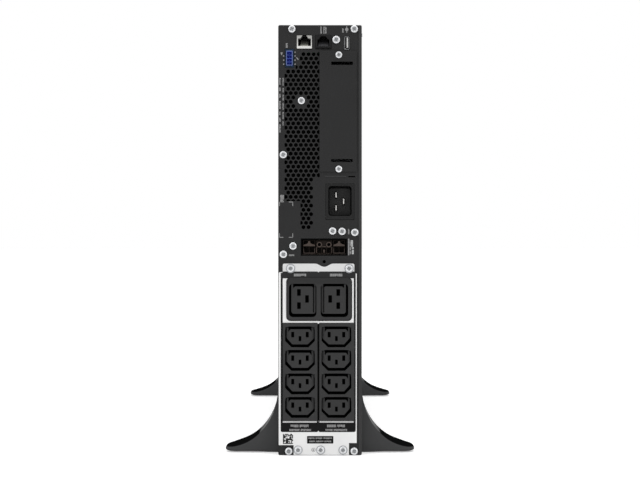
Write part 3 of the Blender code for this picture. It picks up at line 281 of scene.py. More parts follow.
M = {
    "case": surface("powder_coat_black", colour=(0.0138, 0.0138, 0.0141), rough=0.55,
                    spec=0.27, wear=grey(0.07), **POWDER),
    "cover": surface("powder_coat_cover", colour=(0.025, 0.0252, 0.0258), rough=0.52,
                     spec=0.36, wear=grey(0.1), **POWDER),
    "inside": surface("inner_zinc", colour=(0.42, 0.43, 0.44), rough=0.42, metallic=0.9,
                      grain=600.0, bump=0.06, second=(0.32, 0.33, 0.35), second_scale=90.0),
    # The white paint carries painted shade, darker along the plate's top edge.
    "plate": surface("plate_paint_white", colour=(0.79, 0.79, 0.788), rough=0.5, spec=0.4,
                     tone=0.03, height_shade=(0.1825, 0.1845, 0.18), grain=1300.0, bump=0.12,
                     depth=0.00006, wear=(0.42, 0.42, 0.41), wear_amount=0.35,
                     wear_radius=0.0004),
    "label": surface("label_black", colour=(0.0045, 0.0045, 0.0047), spec=0.12, **LABEL),
    "label_head": surface("label_charcoal", colour=(0.0135, 0.0135, 0.0138), spec=0.25,
                          tone=0.1, **LABEL),
    "outlet": surface("outlet_plastic_black", **OUTLET),
    # A copy of the outlet plastic with painted shade, darker along the 16 A block's top edge.
    "outlet_16a": surface("outlet_plastic_16a", height_shade=(0.1705, 0.1725, 0.4), **OUTLET),
    "conn": surface("connector_plastic_black", colour=(0.0075, 0.0075, 0.0078), spec=0.2,
                    bump=0.15, wear=grey(0.05), **CONNECTOR),
    "inlet_face": surface("inlet_plastic", colour=(0.012, 0.012, 0.0122), spec=0.22,
                          bump=0.2, wear=grey(0.04), **CONNECTOR),
    "inlet_floor": surface("inlet_floor", colour=grey(0.0125), rough=0.6, spec=0.3,
                           grain=1500.0, bump=0.4, depth=0.00008),
    "brown": surface("battery_connector_brown", colour=(0.045, 0.03, 0.023),
                     wear=(0.11, 0.08, 0.065), wear_amount=0.6, **BROWN_RUBBED),
    # Lighter copy of the brown plastic: painted light on the sill that stands out in front.
    "brown_light": surface("battery_connector_sill_lit", colour=(0.085, 0.064, 0.052),
                           wear=(0.13, 0.1, 0.08), wear_amount=0.5, **BROWN_RUBBED),
    # Shaded copy of the brown plastic: painted shade on the housings set back in the connector.
    "brown_dark": surface("battery_connector_shaded", colour=(0.012, 0.008, 0.006), rough=0.5,
                          spec=0.12, **BROWN),
    # The tin carries painted shade, darker towards the network jack's top.
    "shield": surface("jack_shield_tin", colour=(0.84, 0.84, 0.81), rough=0.3, metallic=0.85,
                      height_shade=(0.4105, 0.4215, 0.52), grain=900.0, bump=0.1,
                      wear=(0.92, 0.9, 0.85), wear_amount=0.5, tone=0.06),
    # The network jack's floor carries painted shade, darker towards its top.
    "jack_floor": surface("jack_floor", colour=(0.42, 0.42, 0.37), rough=0.55,
                          height_shade=(0.4099, 0.4129, 0.84), **JACK_FLOOR),
    # The serial jack's floor carries painted shade, darker towards its top.
    "serial_floor": surface("serial_floor", colour=(0.034, 0.034, 0.037), rough=0.6,
                            height_shade=(0.4125, 0.4215, 0.75), **JACK_FLOOR),
    "tongue": surface("tongue_white", colour=(0.86, 0.86, 0.85), rough=0.4, spec=0.5,
                      grain=900.0, bump=0.08, tone=0.03),
    "usb_white": surface("usb_tongue", colour=(0.52, 0.52, 0.51), rough=0.45, spec=0.4,
                         grain=900.0, bump=0.08, tone=0.05),
    "spring": surface("usb_spring", colour=grey(0.2), rough=0.45, metallic=0.4, grain=900.0,
                      bump=0.1, tone=0.3, blotch=400.0),
    "blade": surface("blade_nickel", colour=(0.72, 0.71, 0.69), rough=0.32, metallic=1.0,
                     grain=700.0, bump=0.1, stretch=(1.0, 0.1, 1.0), wear=(0.9, 0.9, 0.88),
                     wear_amount=0.4),
    "nickel": surface("screw_nickel", colour=(0.8, 0.812, 0.83), rough=0.27, metallic=1.0,
                      tone=0.06, grain=900.0, bump=0.08, depth=0.00005, second=grey(0.6),
                      second_scale=500.0, wear=(0.97, 0.97, 0.96), wear_amount=0.5,
                      wear_radius=0.0003),
    # Darker metal; in the screw heads it is painted shade in the cross recess.
    "recess": surface("screw_recess", colour=(0.33, 0.34, 0.35), rough=0.42, metallic=1.0,
                      grain=900.0, bump=0.1),
    "washer": surface("washer_zinc", colour=(0.42, 0.43, 0.45), rough=0.4, metallic=0.95,
                      grain=900.0, bump=0.15),
    "blue": surface("plug_blue", colour=(0.028, 0.06, 0.3), rough=0.42, spec=0.35, tone=0.12,
                    wear=(0.12, 0.2, 0.55), wear_amount=0.85, wear_radius=0.0005, **BLUE),
    "navy": surface("header_navy", colour=(0.008, 0.022, 0.042), rough=0.5, spec=0.2, **BLUE),
    "blue_edge": surface("plug_blue_rim", colour=(0.095, 0.132, 0.29), rough=0.45, spec=0.35,
                         tone=0.1, **BLUE),
    "blue_mid": surface("plug_blue_mid", colour=(0.008, 0.025, 0.2), rough=0.45, spec=0.2,
                        grain=1500.0, bump=0.1),
    # Darker copy of the plug blue: painted shade inside the wire cells.
    "blue_cell_shade": surface("plug_blue_cell_shade", colour=(0.0026, 0.0085, 0.17), rough=0.45,
                         spec=0.1, grain=1500.0, bump=0.1),
    "foot": surface("foot_plastic", colour=(0.03, 0.0305, 0.0315), rough=0.46, spec=0.42,
                    tone=0.09, grain=1700.0, bump=0.4, depth=0.00007, wear=grey(0.09),
                    wear_amount=0.3, wear_radius=0.0008, shade_top=0.93),
    "bezel": surface("bezel_plastic", colour=(0.014, 0.014, 0.015), rough=0.42, spec=0.42,
                     tone=0.1, grain=1900.0, bump=0.35, depth=0.00006, wear=grey(0.05),
                     wear_amount=0.35, wear_radius=0.0008),
    "mesh": surface("filter_foam", colour=grey(0.006), rough=0.9, spec=0.1, grain=700.0,
                    bump=1.0, depth=0.0004),
    "silver": surface("trim_silver", colour=(0.5, 0.51, 0.52), rough=0.34, metallic=0.9,
                      grain=1500.0, bump=0.1),
    "key": surface("key_rubber", colour=(0.055, 0.056, 0.058), rough=0.6, spec=0.3,
                   grain=1600.0, bump=0.3, depth=0.00006, wear=grey(0.13), wear_amount=0.4),
    "board": surface("board_green", colour=(0.012, 0.085, 0.035), rough=0.4, spec=0.5,
                     tone=0.2, second=(0.02, 0.12, 0.05), second_scale=400.0, grain=600.0,
                     bump=0.3),
    "alu": surface("heatsink_aluminium", colour=(0.62, 0.63, 0.65), rough=0.36, metallic=1.0,
                   grain=500.0, bump=0.15, stretch=(1.0, 0.06, 1.0), tone=0.08),
    "core": surface("core_laminate", colour=(0.12, 0.11, 0.1), rough=0.5, metallic=0.5,
                    grain=1400.0, bump=0.7, stretch=(1.0, 0.02, 1.0), tone=0.2,
                    second=(0.25, 0.13, 0.05), second_scale=60.0),
    "cap": surface("capacitor_sleeve", colour=(0.012, 0.013, 0.03), rough=0.3, spec=0.5,
                   tone=0.15, grain=800.0, bump=0.1),
    "fan": surface("fan_plastic", colour=grey(0.018), rough=0.42, spec=0.45, grain=1600.0,
                   bump=0.2),
    "cell": surface("cell_case", colour=(0.08, 0.08, 0.085), rough=0.55, spec=0.4,
                    grain=1200.0, bump=0.4, tone=0.12),
    "strap": surface("strap_nylon", colour=grey(0.012), rough=0.8, spec=0.3, grain=900.0,
                     bump=0.9, depth=0.0003, stretch=(1.0, 1.0, 3.5)),
    "red": surface("cable_red", colour=(0.4, 0.02, 0.015), **CABLE),
    "black_cable": surface("cable_black", colour=grey(0.012), **CABLE),
    "white_ink": ink("ink_white", colour=grey(0.62)),
    "grey_ink": ink("ink_grey", colour=grey(0.3)),
    "pale_ink": ink("ink_pale", colour=(0.52, 0.53, 0.53)),
    "black_ink": ink("ink_black", colour=grey(0.012)),
    "case_side": surface("powder_coat_side", colour=(0.0265, 0.0265, 0.027), rough=0.55,
                         spec=0.3, wear=grey(0.07), **POWDER),
    "led_green": surface("lamp_green", colour=(0.05, 0.35, 0.1), **LAMP),
    "led_amber": surface("lamp_amber", colour=(0.45, 0.22, 0.03), **LAMP),
    "led_red": surface("lamp_red", colour=(0.4, 0.03, 0.02), **LAMP),
    # Near-black painted shade, put in holes, gaps and deep openings where only shade is seen.
    "void": surface("painted_shade_black", colour=grey(0.002), rough=0.9, spec=0.05, grain=500.0,
                    bump=0.1),
    "lcd": lcd_material(),
    "lcd_segment": ink("lcd_segment", colour=(0.25, 0.42, 0.6), rough=0.3),
}


# ====================================================================== outlines
def square(x0, x1, z0, z1):
    return [(x0, z0), (x1, z0), (x1, z1), (x0, z1)]


def rounded(x0, x1, z0, z1, radii, steps=6):
    """Rectangle with round corners; radii is one number, or four from the lower left."""
    if not isinstance(radii, tuple):
        radii = (radii,) * 4
    corners = ((x0, z0, 180), (x1, z0, 270), (x1, z1, 0), (x0, z1, 90))
    out = []
    for (cx, cz, start), r in zip(corners, radii):
        if r <= 0:
            out.append((cx, cz))
            continue
        mid_x = cx + r if cx == x0 else cx - r
        mid_z = cz + r if cz == z0 else cz - r
        for i in range(steps + 1):
            turn = math.radians(start + 90.0 * i / steps)
            out.append((mid_x + r * math.cos(turn), mid_z + r * math.sin(turn)))
    return out


def soften(points, radii, steps=4):
    """Round the corners of a plain polygon, one radius for all or one each."""
    if not isinstance(radii, list):
        radii = [radii] * len(points)
    out = []
    for i, r in enumerate(radii):
        corner = Vector(points[i])
        before = Vector(points[i - 1]) - corner
        after = Vector(points[(i + 1) % len(points)]) - corner
        angle = before.angle(after)
        if r <= 0 or angle > 3.12:      # sharp, or nearly straight
            out.append(tuple(points[i]))
            continue
        reach = min(r / math.tan(angle / 2), before.length * 0.49, after.length * 0.49)
        fitted = reach * math.tan(angle / 2)
        inward = (before.normalized() + after.normalized()).normalized()
        centre = corner + inward * (fitted / math.sin(angle / 2))
        start = corner + before.normalized() * reach - centre
        end = corner + after.normalized() * reach - centre
        sweep = start.angle_signed(end)
        for k in range(steps + 1):
            t = -sweep * k / steps
            spoke = Vector((start.x * math.cos(t) - start.y * math.sin(t),
                            start.x * math.sin(t) + start.y * math.cos(t)))
            out.append(tuple(centre + spoke))
    return out


def ring(cx, cz, r, n, turn=0.0):
    return [(cx + r * math.cos(turn + 2 * math.pi * i / n),
             cz + r * math.sin(turn + 2 * math.pi * i / n)) for i in range(n)]


# ================================================================ mesh building
def closed(bm):
    bmesh.ops.recalc_face_normals(bm, faces=bm.faces)
    return bm


def box(x0, x1, y0, y1, z0, z1):
    bm = bmesh.new()
    v = [bm.verts.new((x, y, z)) for x in (x0, x1) for y in (y0, y1) for z in (z0, z1)]
    for face in ((0, 1, 3, 2), (4, 6, 7, 5), (0, 4, 5, 1), (2, 3, 7, 6), (0, 2, 6, 4),
                 (1, 5, 7, 3)):
        bm.faces.new([v[i] for i in face])
    return closed(bm)


def prism(points, axis, start, end):
    """Solid between two places on an axis; points are the two other coordinates."""
    place = {
        "Y": lambda p, t: (p[0], t, p[1]),
        "X": lambda p, t: (t, p[0], p[1]),
        "Z": lambda p, t: (p[0], p[1], t),
    }[axis]
    bm = bmesh.new()
    low = [bm.verts.new(place(p, start)) for p in points]
    high = [bm.verts.new(place(p, end)) for p in points]
    bm.faces.new(low)
    bm.faces.new(list(reversed(high)))
    n = len(points)
    for i in range(n):
        j = (i + 1) % n
        bm.faces.new((low[i], high[i], high[j], low[j]))
    return closed(bm)


def slab(outline, y0, y1):
    return prism(outline, "Y", y0, y1)


def loft_y(sections):
    """Closed solid through outlines of equal length, each (points, y), along Y."""
    bm = bmesh.new()
    rows = [[bm.verts.new((x, y, z)) for x, z in points] for points, y in sections]
    n = len(rows[0])
    bm.faces.new(rows[0])
    bm.faces.new(list(reversed(rows[-1])))
    for near, far in zip(rows, rows[1:]):
        for i in range(n):
            j = (i + 1) % n
            bm.faces.new((near[i], far[i], far[j], near[j]))
    return closed(bm)


def lathe_y(cx, cz, profile, n):
    """Turned solid along Y; profile is (radius, y)."""
    bm = bmesh.new()
    rows = [[bm.verts.new((x, y, z)) for x, z in (ring(cx, cz, r, n) if r > 1e-9 else [(cx, cz)])]
            for r, y in profile]
    for upper, lower in zip(rows, rows[1:]):
        for i in range(n):
            j = (i + 1) % n
            if len(upper) == 1 and len(lower) > 1:
                bm.faces.new((upper[0], lower[i], lower[j]))
            elif len(lower) == 1 and len(upper) > 1:
                bm.faces.new((upper[i], lower[0], upper[j]))
            elif len(upper) > 1:
                bm.faces.new((upper[i], lower[i], lower[j], upper[j]))
    return closed(bm)


def frame_ring(outer, inner, y_top, y_floor):
    """Solid between two outlines of equal point count."""
    bm = bmesh.new()
    rows = [[bm.verts.new((x, y, z)) for x, z in points]
            for points, y in ((outer, y_top), (outer, y_floor), (inner, y_floor), (inner, y_top))]
    n = len(outer)
    for k in range(4):
        a, b = rows[k], rows[(k + 1) % 4]
        for i in range(n):
            j = (i + 1) % n
            bm.faces.new((a[i], a[j], b[j], b[i]))
    return closed(bm)


def merged(parts):
    out = bmesh.new()
    for part in parts:
        mesh = bpy.data.meshes.new("part")
        part.to_mesh(mesh)
        out.from_mesh(mesh)
        bpy.data.meshes.remove(mesh)
        part.free()
    return out


def scratch_object(bm):
    mesh = bpy.data.meshes.new("scratch")
    bm.to_mesh(mesh)
    bm.free()
    made = bpy.data.objects.new("scratch", mesh)
    bpy.context.scene.collection.objects.link(made)
    return made


def boolean(bm, others, operation):
    target = scratch_object(bm)
    cutter = scratch_object(merged(others))
    mod = target.modifiers.new("cut", "BOOLEAN")
    mod.object = cutter
    mod.operation = operation
    mod.solver = "EXACT"
    bpy.context.view_layer.update()
    graph = bpy.context.evaluated_depsgraph_get()
    result = bpy.data.meshes.new_from_object(target.evaluated_get(graph))
    out = bmesh.new()
    out.from_mesh(result)
    for made in (target, cutter):
        mesh = made.data
        bpy.data.objects.remove(made, do_unlink=True)
        bpy.data.meshes.remove(mesh)
    bpy.data.meshes.remove(result)
    return out


def cut(bm, *others):
    return boolean(bm, list(others), "DIFFERENCE")


def join(bm, *others):
    for other in others:
        bm = boolean(bm, [other], "UNION")
    return bm


def moved(bm, matrix):
    bmesh.ops.transform(bm, matrix=matrix, verts=bm.verts)
    return bm


def bevel_edges(made, width, segments, angle):
    mod = made.modifiers.new("edge", "BEVEL")
    mod.width = width * MM
    mod.segments = segments
    mod.limit_method = "ANGLE"
    mod.angle_limit = math.radians(angle)
    mod.harden_normals = True
    return mod


def link_mesh(name, bm):
    """Write a mesh in millimetres as a smooth object in metres."""
    moved(bm, Matrix.Scale(MM, 4))
    mesh = bpy.data.meshes.new(name)
    bm.to_mesh(mesh)
    bm.free()
    made = bpy.data.objects.new(name, mesh)
    bpy.context.scene.collection.objects.link(made)
    mesh.shade_smooth()
    return made


def piece(name, bm, look, slot, owner="chassis", bevel=0.0, segments=2, stands_for=None,
          angle=32.0, extra=()):
    """Write a finished mesh as an object that rides on a body."""
    bmesh.ops.remove_doubles(bm, verts=bm.verts, dist=0.0008)
    made = link_mesh(name, bm)
    for key in (look, *extra):
        made.data.materials.append(M[key])
    if bevel:
        bevel_edges(made, bevel, segments, angle).use_clamp_overlap = True
    else:
        made.data.set_sharp_from_angle(angle=math.radians(angle))
    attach(made, owner)
    if stands_for:
        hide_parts(stands_for)


case_part = partial(piece, slot="case_steel")
white_part = partial(piece, slot="plate_white")
outlet_part = partial(piece, slot="outlet_plastic")
connector_part = partial(piece, slot="connector_plastic")
shield_part = partial(piece, slot="jack_shield")
battery_part = partial(piece, slot="battery_connector_plastic")
epo_part = partial(piece, slot="epo_blue", owner="epo")
bezel_part = partial(piece, slot="bezel_plastic", owner="bezel")
display_part = partial(piece, slot="display_lens", owner="display")


def finish_node(node, look, bevel):
    """Give a carried-over CAD node its material and a small edge radius."""
    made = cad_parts[node]
    made.data.materials.clear()
    made.data.materials.append(M[look])
    if bevel:
        weld = made.modifiers.new("weld", "WELD")
        weld.merge_threshold = 0.00001
        bevel_edges(made, bevel, segments=2, angle=38)


# ======================================================================== screws
# Name: x, z, head radius, node it stands for.
PANEL_SCREWS = {
    "screw_case_top_left": (-28.2, 427.9, 3.9, "cover_screw_top_left"),
    "screw_case_top_right": (34.4, 427.9, 3.9, "cover_screw_top_right"),
    "screw_case_low_left": (-31.4, 4.1, 3.9, "cover_screw_bottom_left"),
    "screw_case_low_right": (34.3, 4.1, 3.9, "cover_screw_bottom_right"),
    "screw_comms": (16.3, 417.2, 4.1, None),
    "screw_vent_upper": (-18.7, 356.0, 3.9, None),
    "screw_vent_lower": (-36.8, 301.7, 3.9, None),
    "screw_inlet_a": (12.6, 225.1, 4.0, None),
    "screw_inlet_b": (22.2, 224.7, 4.0, None),
    "screw_ground": (34.9, 223.7, 4.0, None),
    "screw_battery_a": (-27.1, 210.0, 4.0, None),
    "screw_battery_b": (-36.7, 201.7, 4.0, None),
}
# Name: x, z, washer radius without its rim, node it stands for.
PLATE_SCREWS = {
    "screw_plate_left": (-29.5, 187.5, 4.25, "plate_screw_left"),
    "screw_plate_right": (29.2, 187.5, 4.25, "plate_screw_right"),
    "screw_foot_left": (-22.05, 5.3, 4.2, None),
    "screw_foot_mid": (0.65, 5.3, 4.2, None),
    "screw_foot_right": (23.05, 5.3, 4.2, None),
}
# Name: x, z, node it stands for.
SLOT_SCREWS = {"screw_card_top": (18.9, 401.9, "slot_screw_top"),
               "screw_card_low": (18.9, 287.3, "slot_screw_bottom")}


def screw_mesh(head_r, head_h, cup, turn):
    """Pan head with a coned cross recess, seat at y=0, head towards -Y, short shank."""
    top = -head_h
    profile = [(0.0, top + 1.0), (0.5, top + 0.95), (cup * 0.62, top + 0.62),
               (cup, top + 0.03), (cup + 0.12, top)]
    flat = cup + 0.55
    steps = 7
    for i in range(steps + 1):
        t = math.pi / 2 * i / steps
        profile.append((flat + (head_r - flat) * math.sin(t),
                        top + (head_h * 0.72) * (1 - math.cos(t))))
    profile += [(head_r, -0.12), (head_r - 0.12, 0.0), (1.45, 0.0), (1.45, 6.0), (0.0, 6.5)]
    bm = lathe_y(0.0, 0.0, profile, 40)
    bars = [moved(box(-cup * 1.08, cup * 1.08, top - 1.0, top + 1.35, -0.42, 0.42),
                  Matrix.Rotation(math.radians(turn + 90 * k), 4, "Y")) for k in range(2)]
    for bar in bars:
        bm = cut(bm, bar)
    # Faces in the cross recess take the darker recess metal: painted shade in the recess.
    for face in bm.faces:
        c = face.calc_center_median()
        if math.hypot(c.x, c.z) < cup * 0.98 and top + 0.02 < c.y < 1.4:
            face.material_index = 1
    return bm


def place_screw(name, place, owner="chassis", node=None, **sizes):
    piece(name, moved(screw_mesh(**sizes), place), "nickel", "screw_nickel", owner,
          stands_for=node, angle=40.0, extra=("recess",))


def rear_screw(name, x, y, z, **options):
    place_screw(name, Matrix.Translation((x, y, z)), turn=(x * 37.0 + z * 11.0) % 90.0, **options)


for name, (x, z, head_r, node) in PANEL_SCREWS.items():
    rear_screw(name, x, Y_PANEL - 0.05, z, head_r=head_r, head_h=2.3, cup=2.0, node=node)
for name, (x, z, washer_r, node) in PLATE_SCREWS.items():
    rear_screw(name, x, Y_PLATE - 0.3, z, head_r=3.75, head_h=1.3, cup=1.9, node=node)
    # A zinc washer under each plate screw; its darker tone also stands in for the shade round the
    # head.
    washer = frame_ring(ring(x, z, washer_r + 0.35, 40), ring(x, z, 2.2, 40),
                        Y_PLATE - 0.32, Y_PLATE - 0.02)
    piece(name + "_washer", washer, "washer", "screw_nickel", bevel=0.08)
for name, (x, z, node) in SLOT_SCREWS.items():
    rear_screw(name, x, cad("slot_cover").y0 - 0.05, z, head_r=3.5, head_h=1.5, cup=1.6,
               owner="card_cover", node=node)

# ==================================================================== rear panel
NET = area_of("network_jack")
SERIAL = area_of("serial_jack")
USB = area_of("usb_port")
EPO = area_of("epo_header")
INLET = area_of("ac_inlet")
BATTERY = area_of("external_battery_connector")
C19 = area_of("c19_outlet_pair")
C13_LEFT, C13_RIGHT = (area._replace(z1=area.z1 + 0.65) for area in (
    area_of("c13_outlet_strip_left"), area_of("c13_outlet_strip_right")))
GAP = 0.3            # clearance round parts that pass through the sheets


def through(points):
    return slab(points, Y_PANEL - 5, PANEL.y1 + 5)


def screw_holes(screws):
    return [through(ring(row[0], row[1], 1.8, 16)) for row in screws.values()]


# ------------------------------------------------------------------------- vents
VENT_PITCH, VENT_ROW, VENT_R = 5.105, 4.344, 2.2
VENT_TOP = 402.8
VENT_ROWS = 41


def clip(points, half_planes):
    """Clip a convex polygon; each half-plane (a, b, c) keeps a*x + b*z <= c."""
    for a, b, c in half_planes:
        kept = []
        for i, p in enumerate(points):
            q = points[(i + 1) % len(points)]
            over_p, over_q = a * p[0] + b * p[1] - c, a * q[0] + b * q[1] - c
            if over_p <= 0:
                kept.append(p)
            if (over_p < 0 < over_q) or (over_q < 0 < over_p):
                t = over_p / (over_p - over_q)
                kept.append((p[0] + (q[0] - p[0]) * t, p[1] + (q[1] - p[1]) * t))
        points = kept
        if len(points) < 3:
            return []
    return points


def size_of(points):
    return abs(sum(p[0] * q[1] - q[0] * p[1] for p, q in zip(points, points[1:] + points[:1]))) / 2


def vent_holes():
    """Staggered hexagons, cut off at the field's stepped border and left out at screws."""
    for row in range(VENT_ROWS):
        z = VENT_TOP - row * VENT_ROW
        first = -1.3 if row % 2 == 0 else -3.85
        for col in range(8):
            x = first - col * VENT_PITCH
            keep = [(-1, 0, 35.7)]
            if z < 279.5:
                if x > -6.7:
                    continue
                keep.append((1, 0, -6.3))
            elif x > -2.0:
                keep.append((1, 0, -0.2))
            if z > 390.0:
                keep.append((-1, 0, 20.3))
            elif z > 386.0:
                keep.append((-1, 0, 24.6))
            if z < 253.5:
                keep.append((-1, 0, 19.7))
            elif z < 257.5 and x < -19.0:
                keep.append((0, -1, -255.2))
            if math.hypot(x + 18.7, z - 356.0) < 6.2 or math.hypot(x + 36.8, z - 301.7) < 5.6:
                continue
            hexagon = clip(ring(x, z, VENT_R, 6, math.pi / 6), keep)
            if len(hexagon) >= 3 and size_of(hexagon) > 2.0:
                yield hexagon


panel = slab(rounded(PANEL.x0, PANEL.x1, PANEL.z0, PANEL.z1, (1.6, 0, 0, 1.6), 5),
             Y_PANEL, PANEL.y1)
panel = cut(
    panel,
    *[through(rounded(*grow(area, GAP), 0.5, 3))
      for area in (NET, SERIAL, USB, EPO, INLET, BATTERY, C13_LEFT, C13_RIGHT)],
    through(rounded(*grow(C19, GAP), 3.3)),
    through(rounded(2.5, 35.0, 293.5, 395.5, 1.0, 3)),     # opening behind the card cover
    through(ring(4.2, 194.3, 1.7, 24)),                    # hole in the plate's dip
    through(rounded(28.3, 35.4, 279.1, 280.4, 0.3, 2)),    # slit above the inlet
    *screw_holes(PANEL_SCREWS), *screw_holes(SLOT_SCREWS), *screw_holes(PLATE_SCREWS),
)
panel = cut(panel, *[through(hexagon) for hexagon in vent_holes()])
case_part("rear_panel_sheet", panel, "case", bevel=0.13, stands_for="rear_panel")

# A near-black sheet a little way behind the vents keeps stray light out of the case: painted shade
# for the dark inside seen through the vents.
vent_shade = slab(square(-38.4, 0.2, 226.5, 404.4), PANEL.y1 + 5.0, PANEL.y1 + 5.6)
vent_shade = cut(vent_shade, slab(square(*grow(EPO, 1.5)), PANEL.y1, PANEL.y1 + 12))
case_part("vent_baffle", vent_shade, "void")

# Raised lance above the inlet.
lance = slab(soften(square(5.0, 26.2, 279.6, 280.7), 0.3), Y_PANEL - 0.55, Y_PANEL - 0.02)
case_part("inlet_lance", lance, "cover", bevel=0.15)

# Card cover with a slot near each end.
CARD = cad("slot_cover")
cover = slab(rounded(CARD.x0, CARD.x1, CARD.z0, CARD.z1, 0.8, 4), CARD.y0, CARD.y1)
openings = [rounded(11.2, 33.0, low, high, 0.5, 4) for low, high in ((391.9, 395.2), (294.3, 297.4))]
openings += [ring(x, z, 1.7, 20) for x, z, _ in SLOT_SCREWS.values()]
cover = cut(cover, *[slab(points, CARD.y0 - 4, CARD.y1 + 4) for points in openings])
case_part("card_cover_sheet", cover, "case", owner="card_cover", bevel=0.2,
          stands_for="slot_cover")

# ------------------------------------------------------------------ outlet plate
PLATE_TOP = PLATE.z1
DIP_X, DIP_LOW, DIP_HALF = 4.2, 189.2, 7.4


def dip_points(n=18):
    """Smooth cosine dip in the plate's top edge, from right to left."""
    out = []
    for i in range(n + 1):
        t = 1 - 2 * i / n
        sink = (0.5 + 0.5 * math.cos(math.pi * t)) ** 0.9
        out.append((DIP_X + DIP_HALF * 1.2 * t, PLATE_TOP - (PLATE_TOP - DIP_LOW) * sink))
    return out


outline = (
    [(-26.5, 0.4), (29.1, 0.4), (29.1, 12.3), (36.85, 12.3), (36.85, 182.4)]
    + soften([(36.85, 182.4), (34.5, 182.7), (34.5, PLATE_TOP), (30, PLATE_TOP)],
             [0, 0.3, 1.6, 0])[1:-1]
    + dip_points()
    + soften([(-30, PLATE_TOP), (-37.4, PLATE_TOP), (-37.4, 184.0), (-39, 184.0)],
             [0, 1.6, 0.5, 0])[1:-1]
    + soften([(-39, 184.0), (-41.45, 183.6), (-41.45, 180)], [0, 1.2, 0])[1:-1]
    + [(-41.45, 10.2), (-26.5, 10.2)])
plate = slab(outline, Y_PLATE, PLATE.y1)
plate = cut(plate, through(square(C13_LEFT.x1, C13_RIGHT.x0, C13_LEFT.z0 - GAP,
                                  C13_LEFT.z1 - 0.6)))
plate = cut(plate, *[through(rounded(*grow(area, GAP), 0.6, 3)) for area in (C13_LEFT, C13_RIGHT)],
            through(rounded(*grow(C19, GAP), 4.2)), *screw_holes(PLATE_SCREWS))
white_part("outlet_plate_sheet", plate, "plate", bevel=0.16, stands_for="outlet_plate")


# ------------------------------------------------------------ black printed label
def sheet(points, y, thick=LABEL_THICK):
    """Thin layer standing off a rear face at y."""
    return slab(points, y - thick, y - 0.01)


def print_on(points, y):
    return sheet(points, y, INK_THICK)


LABEL_LEFT, LABEL_RIGHT = -39.45, 35.85
MID = -1.6                        # where the label's halves meet
HEAD_LOW, HEAD_TOP = 177.6, 184.5
SIDE_LOW = 132.0                  # foot of the narrow strips beside the 16 A block
FOOT_LOW, FOOT_TOP = 23.35, 34.4
head = [
    sheet(square(MID - 1.0, MID + 1.0, HEAD_LOW, 183.2), Y_PLATE + 0.02),
    sheet(soften([(LABEL_LEFT, HEAD_LOW), (MID - 0.15, HEAD_LOW), (MID - 0.15, HEAD_TOP),
                  (-37.2, HEAD_TOP), (-37.9, 183.2), (LABEL_LEFT, 183.2)],
                 [0.2, 0.2, 1.2, 0.2, 0.2, 0.6]), Y_PLATE),
    sheet(soften([(MID + 0.15, HEAD_LOW), (LABEL_RIGHT, HEAD_LOW), (LABEL_RIGHT, 182.4),
                  (34.3, HEAD_TOP), (MID + 0.15, HEAD_TOP)],
                 [0.2, 0.2, 0.4, 0.4, 1.2]), Y_PLATE),
]
outlet_part("outlet_label_head", merged(head), "label_head")

label = [sheet(square(MID - 1.0, MID + 1.0, 24.6, 33.0), Y_PLATE + 0.02)]
label += [sheet(square(a, b, SIDE_LOW, 177.55), Y_PLATE)
          for a, b in ((LABEL_LEFT, -37.45), (33.95, LABEL_RIGHT))]
label += [sheet(soften(square(a, b, FOOT_LOW, FOOT_TOP), [1.6, 1.6, 0, 0]), Y_PLATE)
          for a, b in ((LABEL_LEFT, MID - 0.1), (MID + 0.1, LABEL_RIGHT))]
label += [sheet(square(a, b, 34.3, SIDE_LOW), Y_PLATE)
          for a, b in ((LABEL_LEFT, C13_LEFT.x0 - 0.3), (C13_RIGHT.x1 + 0.3, LABEL_RIGHT))]
outlet_part("outlet_label", merged(label), "label")

# Fine white rules under the outlets.
rules = [print_on(square(a, b, 32.8, 34.3), Y_LABEL) for a, b in ((-37.4, -3.2), (-0.6, 33.8))]
white_part("outlet_rules", merged(rules), "white_ink")


def dashes(x0, x1, z0, z1, seed, words, y=Y_LABEL, along="X", gap=0.55):
    """Stand-in for a printed line: short blocks grouped like words, no letters."""
    rng = random.Random(seed)
    start, stop = (x0, x1) if along == "X" else (z0, z1)
    out = []
    total = stop - start
    shares = [0.6 + rng.random() for _ in range(words)]
    space = total * 0.05
    run = (total - space * (words - 1)) / sum(shares)
    for share in shares:
        end = start + run * share
        pos = start
        while pos < end - 0.3:
            width = min(end - pos, 0.7 + rng.random() * 0.8)
            short = rng.choice((0.0, 0.0, 0.22))
            if along == "X":
                block = square(pos, pos + width, z0 + (z1 - z0) * short, z1)
            else:
                block = square(x0, x1 - (x1 - x0) * short, pos, pos + width)
            out.append(print_on(block, y))
            pos += width + gap * 0.45
        start = end + space
    return out


def print_lines(table, **options):
    return [block for row in table for block in dashes(*row, **options)]


# x0, x1, z0, z1, seed, words
LABEL_LINES = [
    (-26.2, -13.5, 179.6, 182.3, 3, 1), (10.0, 22.4, 179.6, 182.3, 4, 1),
    (-29.5, -11.5, 28.2, 30.8, 5, 2), (-30.7, -9.0, 24.4, 26.4, 6, 2),
    (7.1, 25.0, 28.2, 30.8, 7, 2), (5.5, 27.3, 24.4, 26.4, 8, 2),
]
RATING_LINES = [(-11.6, 12.2, 16.3, 17.9, 11, 3), (-10.8, 11.6, 13.2, 14.7, 12, 3)]
white_part("outlet_label_marks", merged(print_lines(LABEL_LINES)), "grey_ink")

# Rating plate and a speckled square at the foot of the plate.
rating = sheet(soften(square(-13.0, 13.4, 11.8, 19.3), 0.5), Y_PLATE)
outlet_part("rating_plate", rating, "label")
white_part("rating_marks", merged(print_lines(RATING_LINES)), "grey_ink")

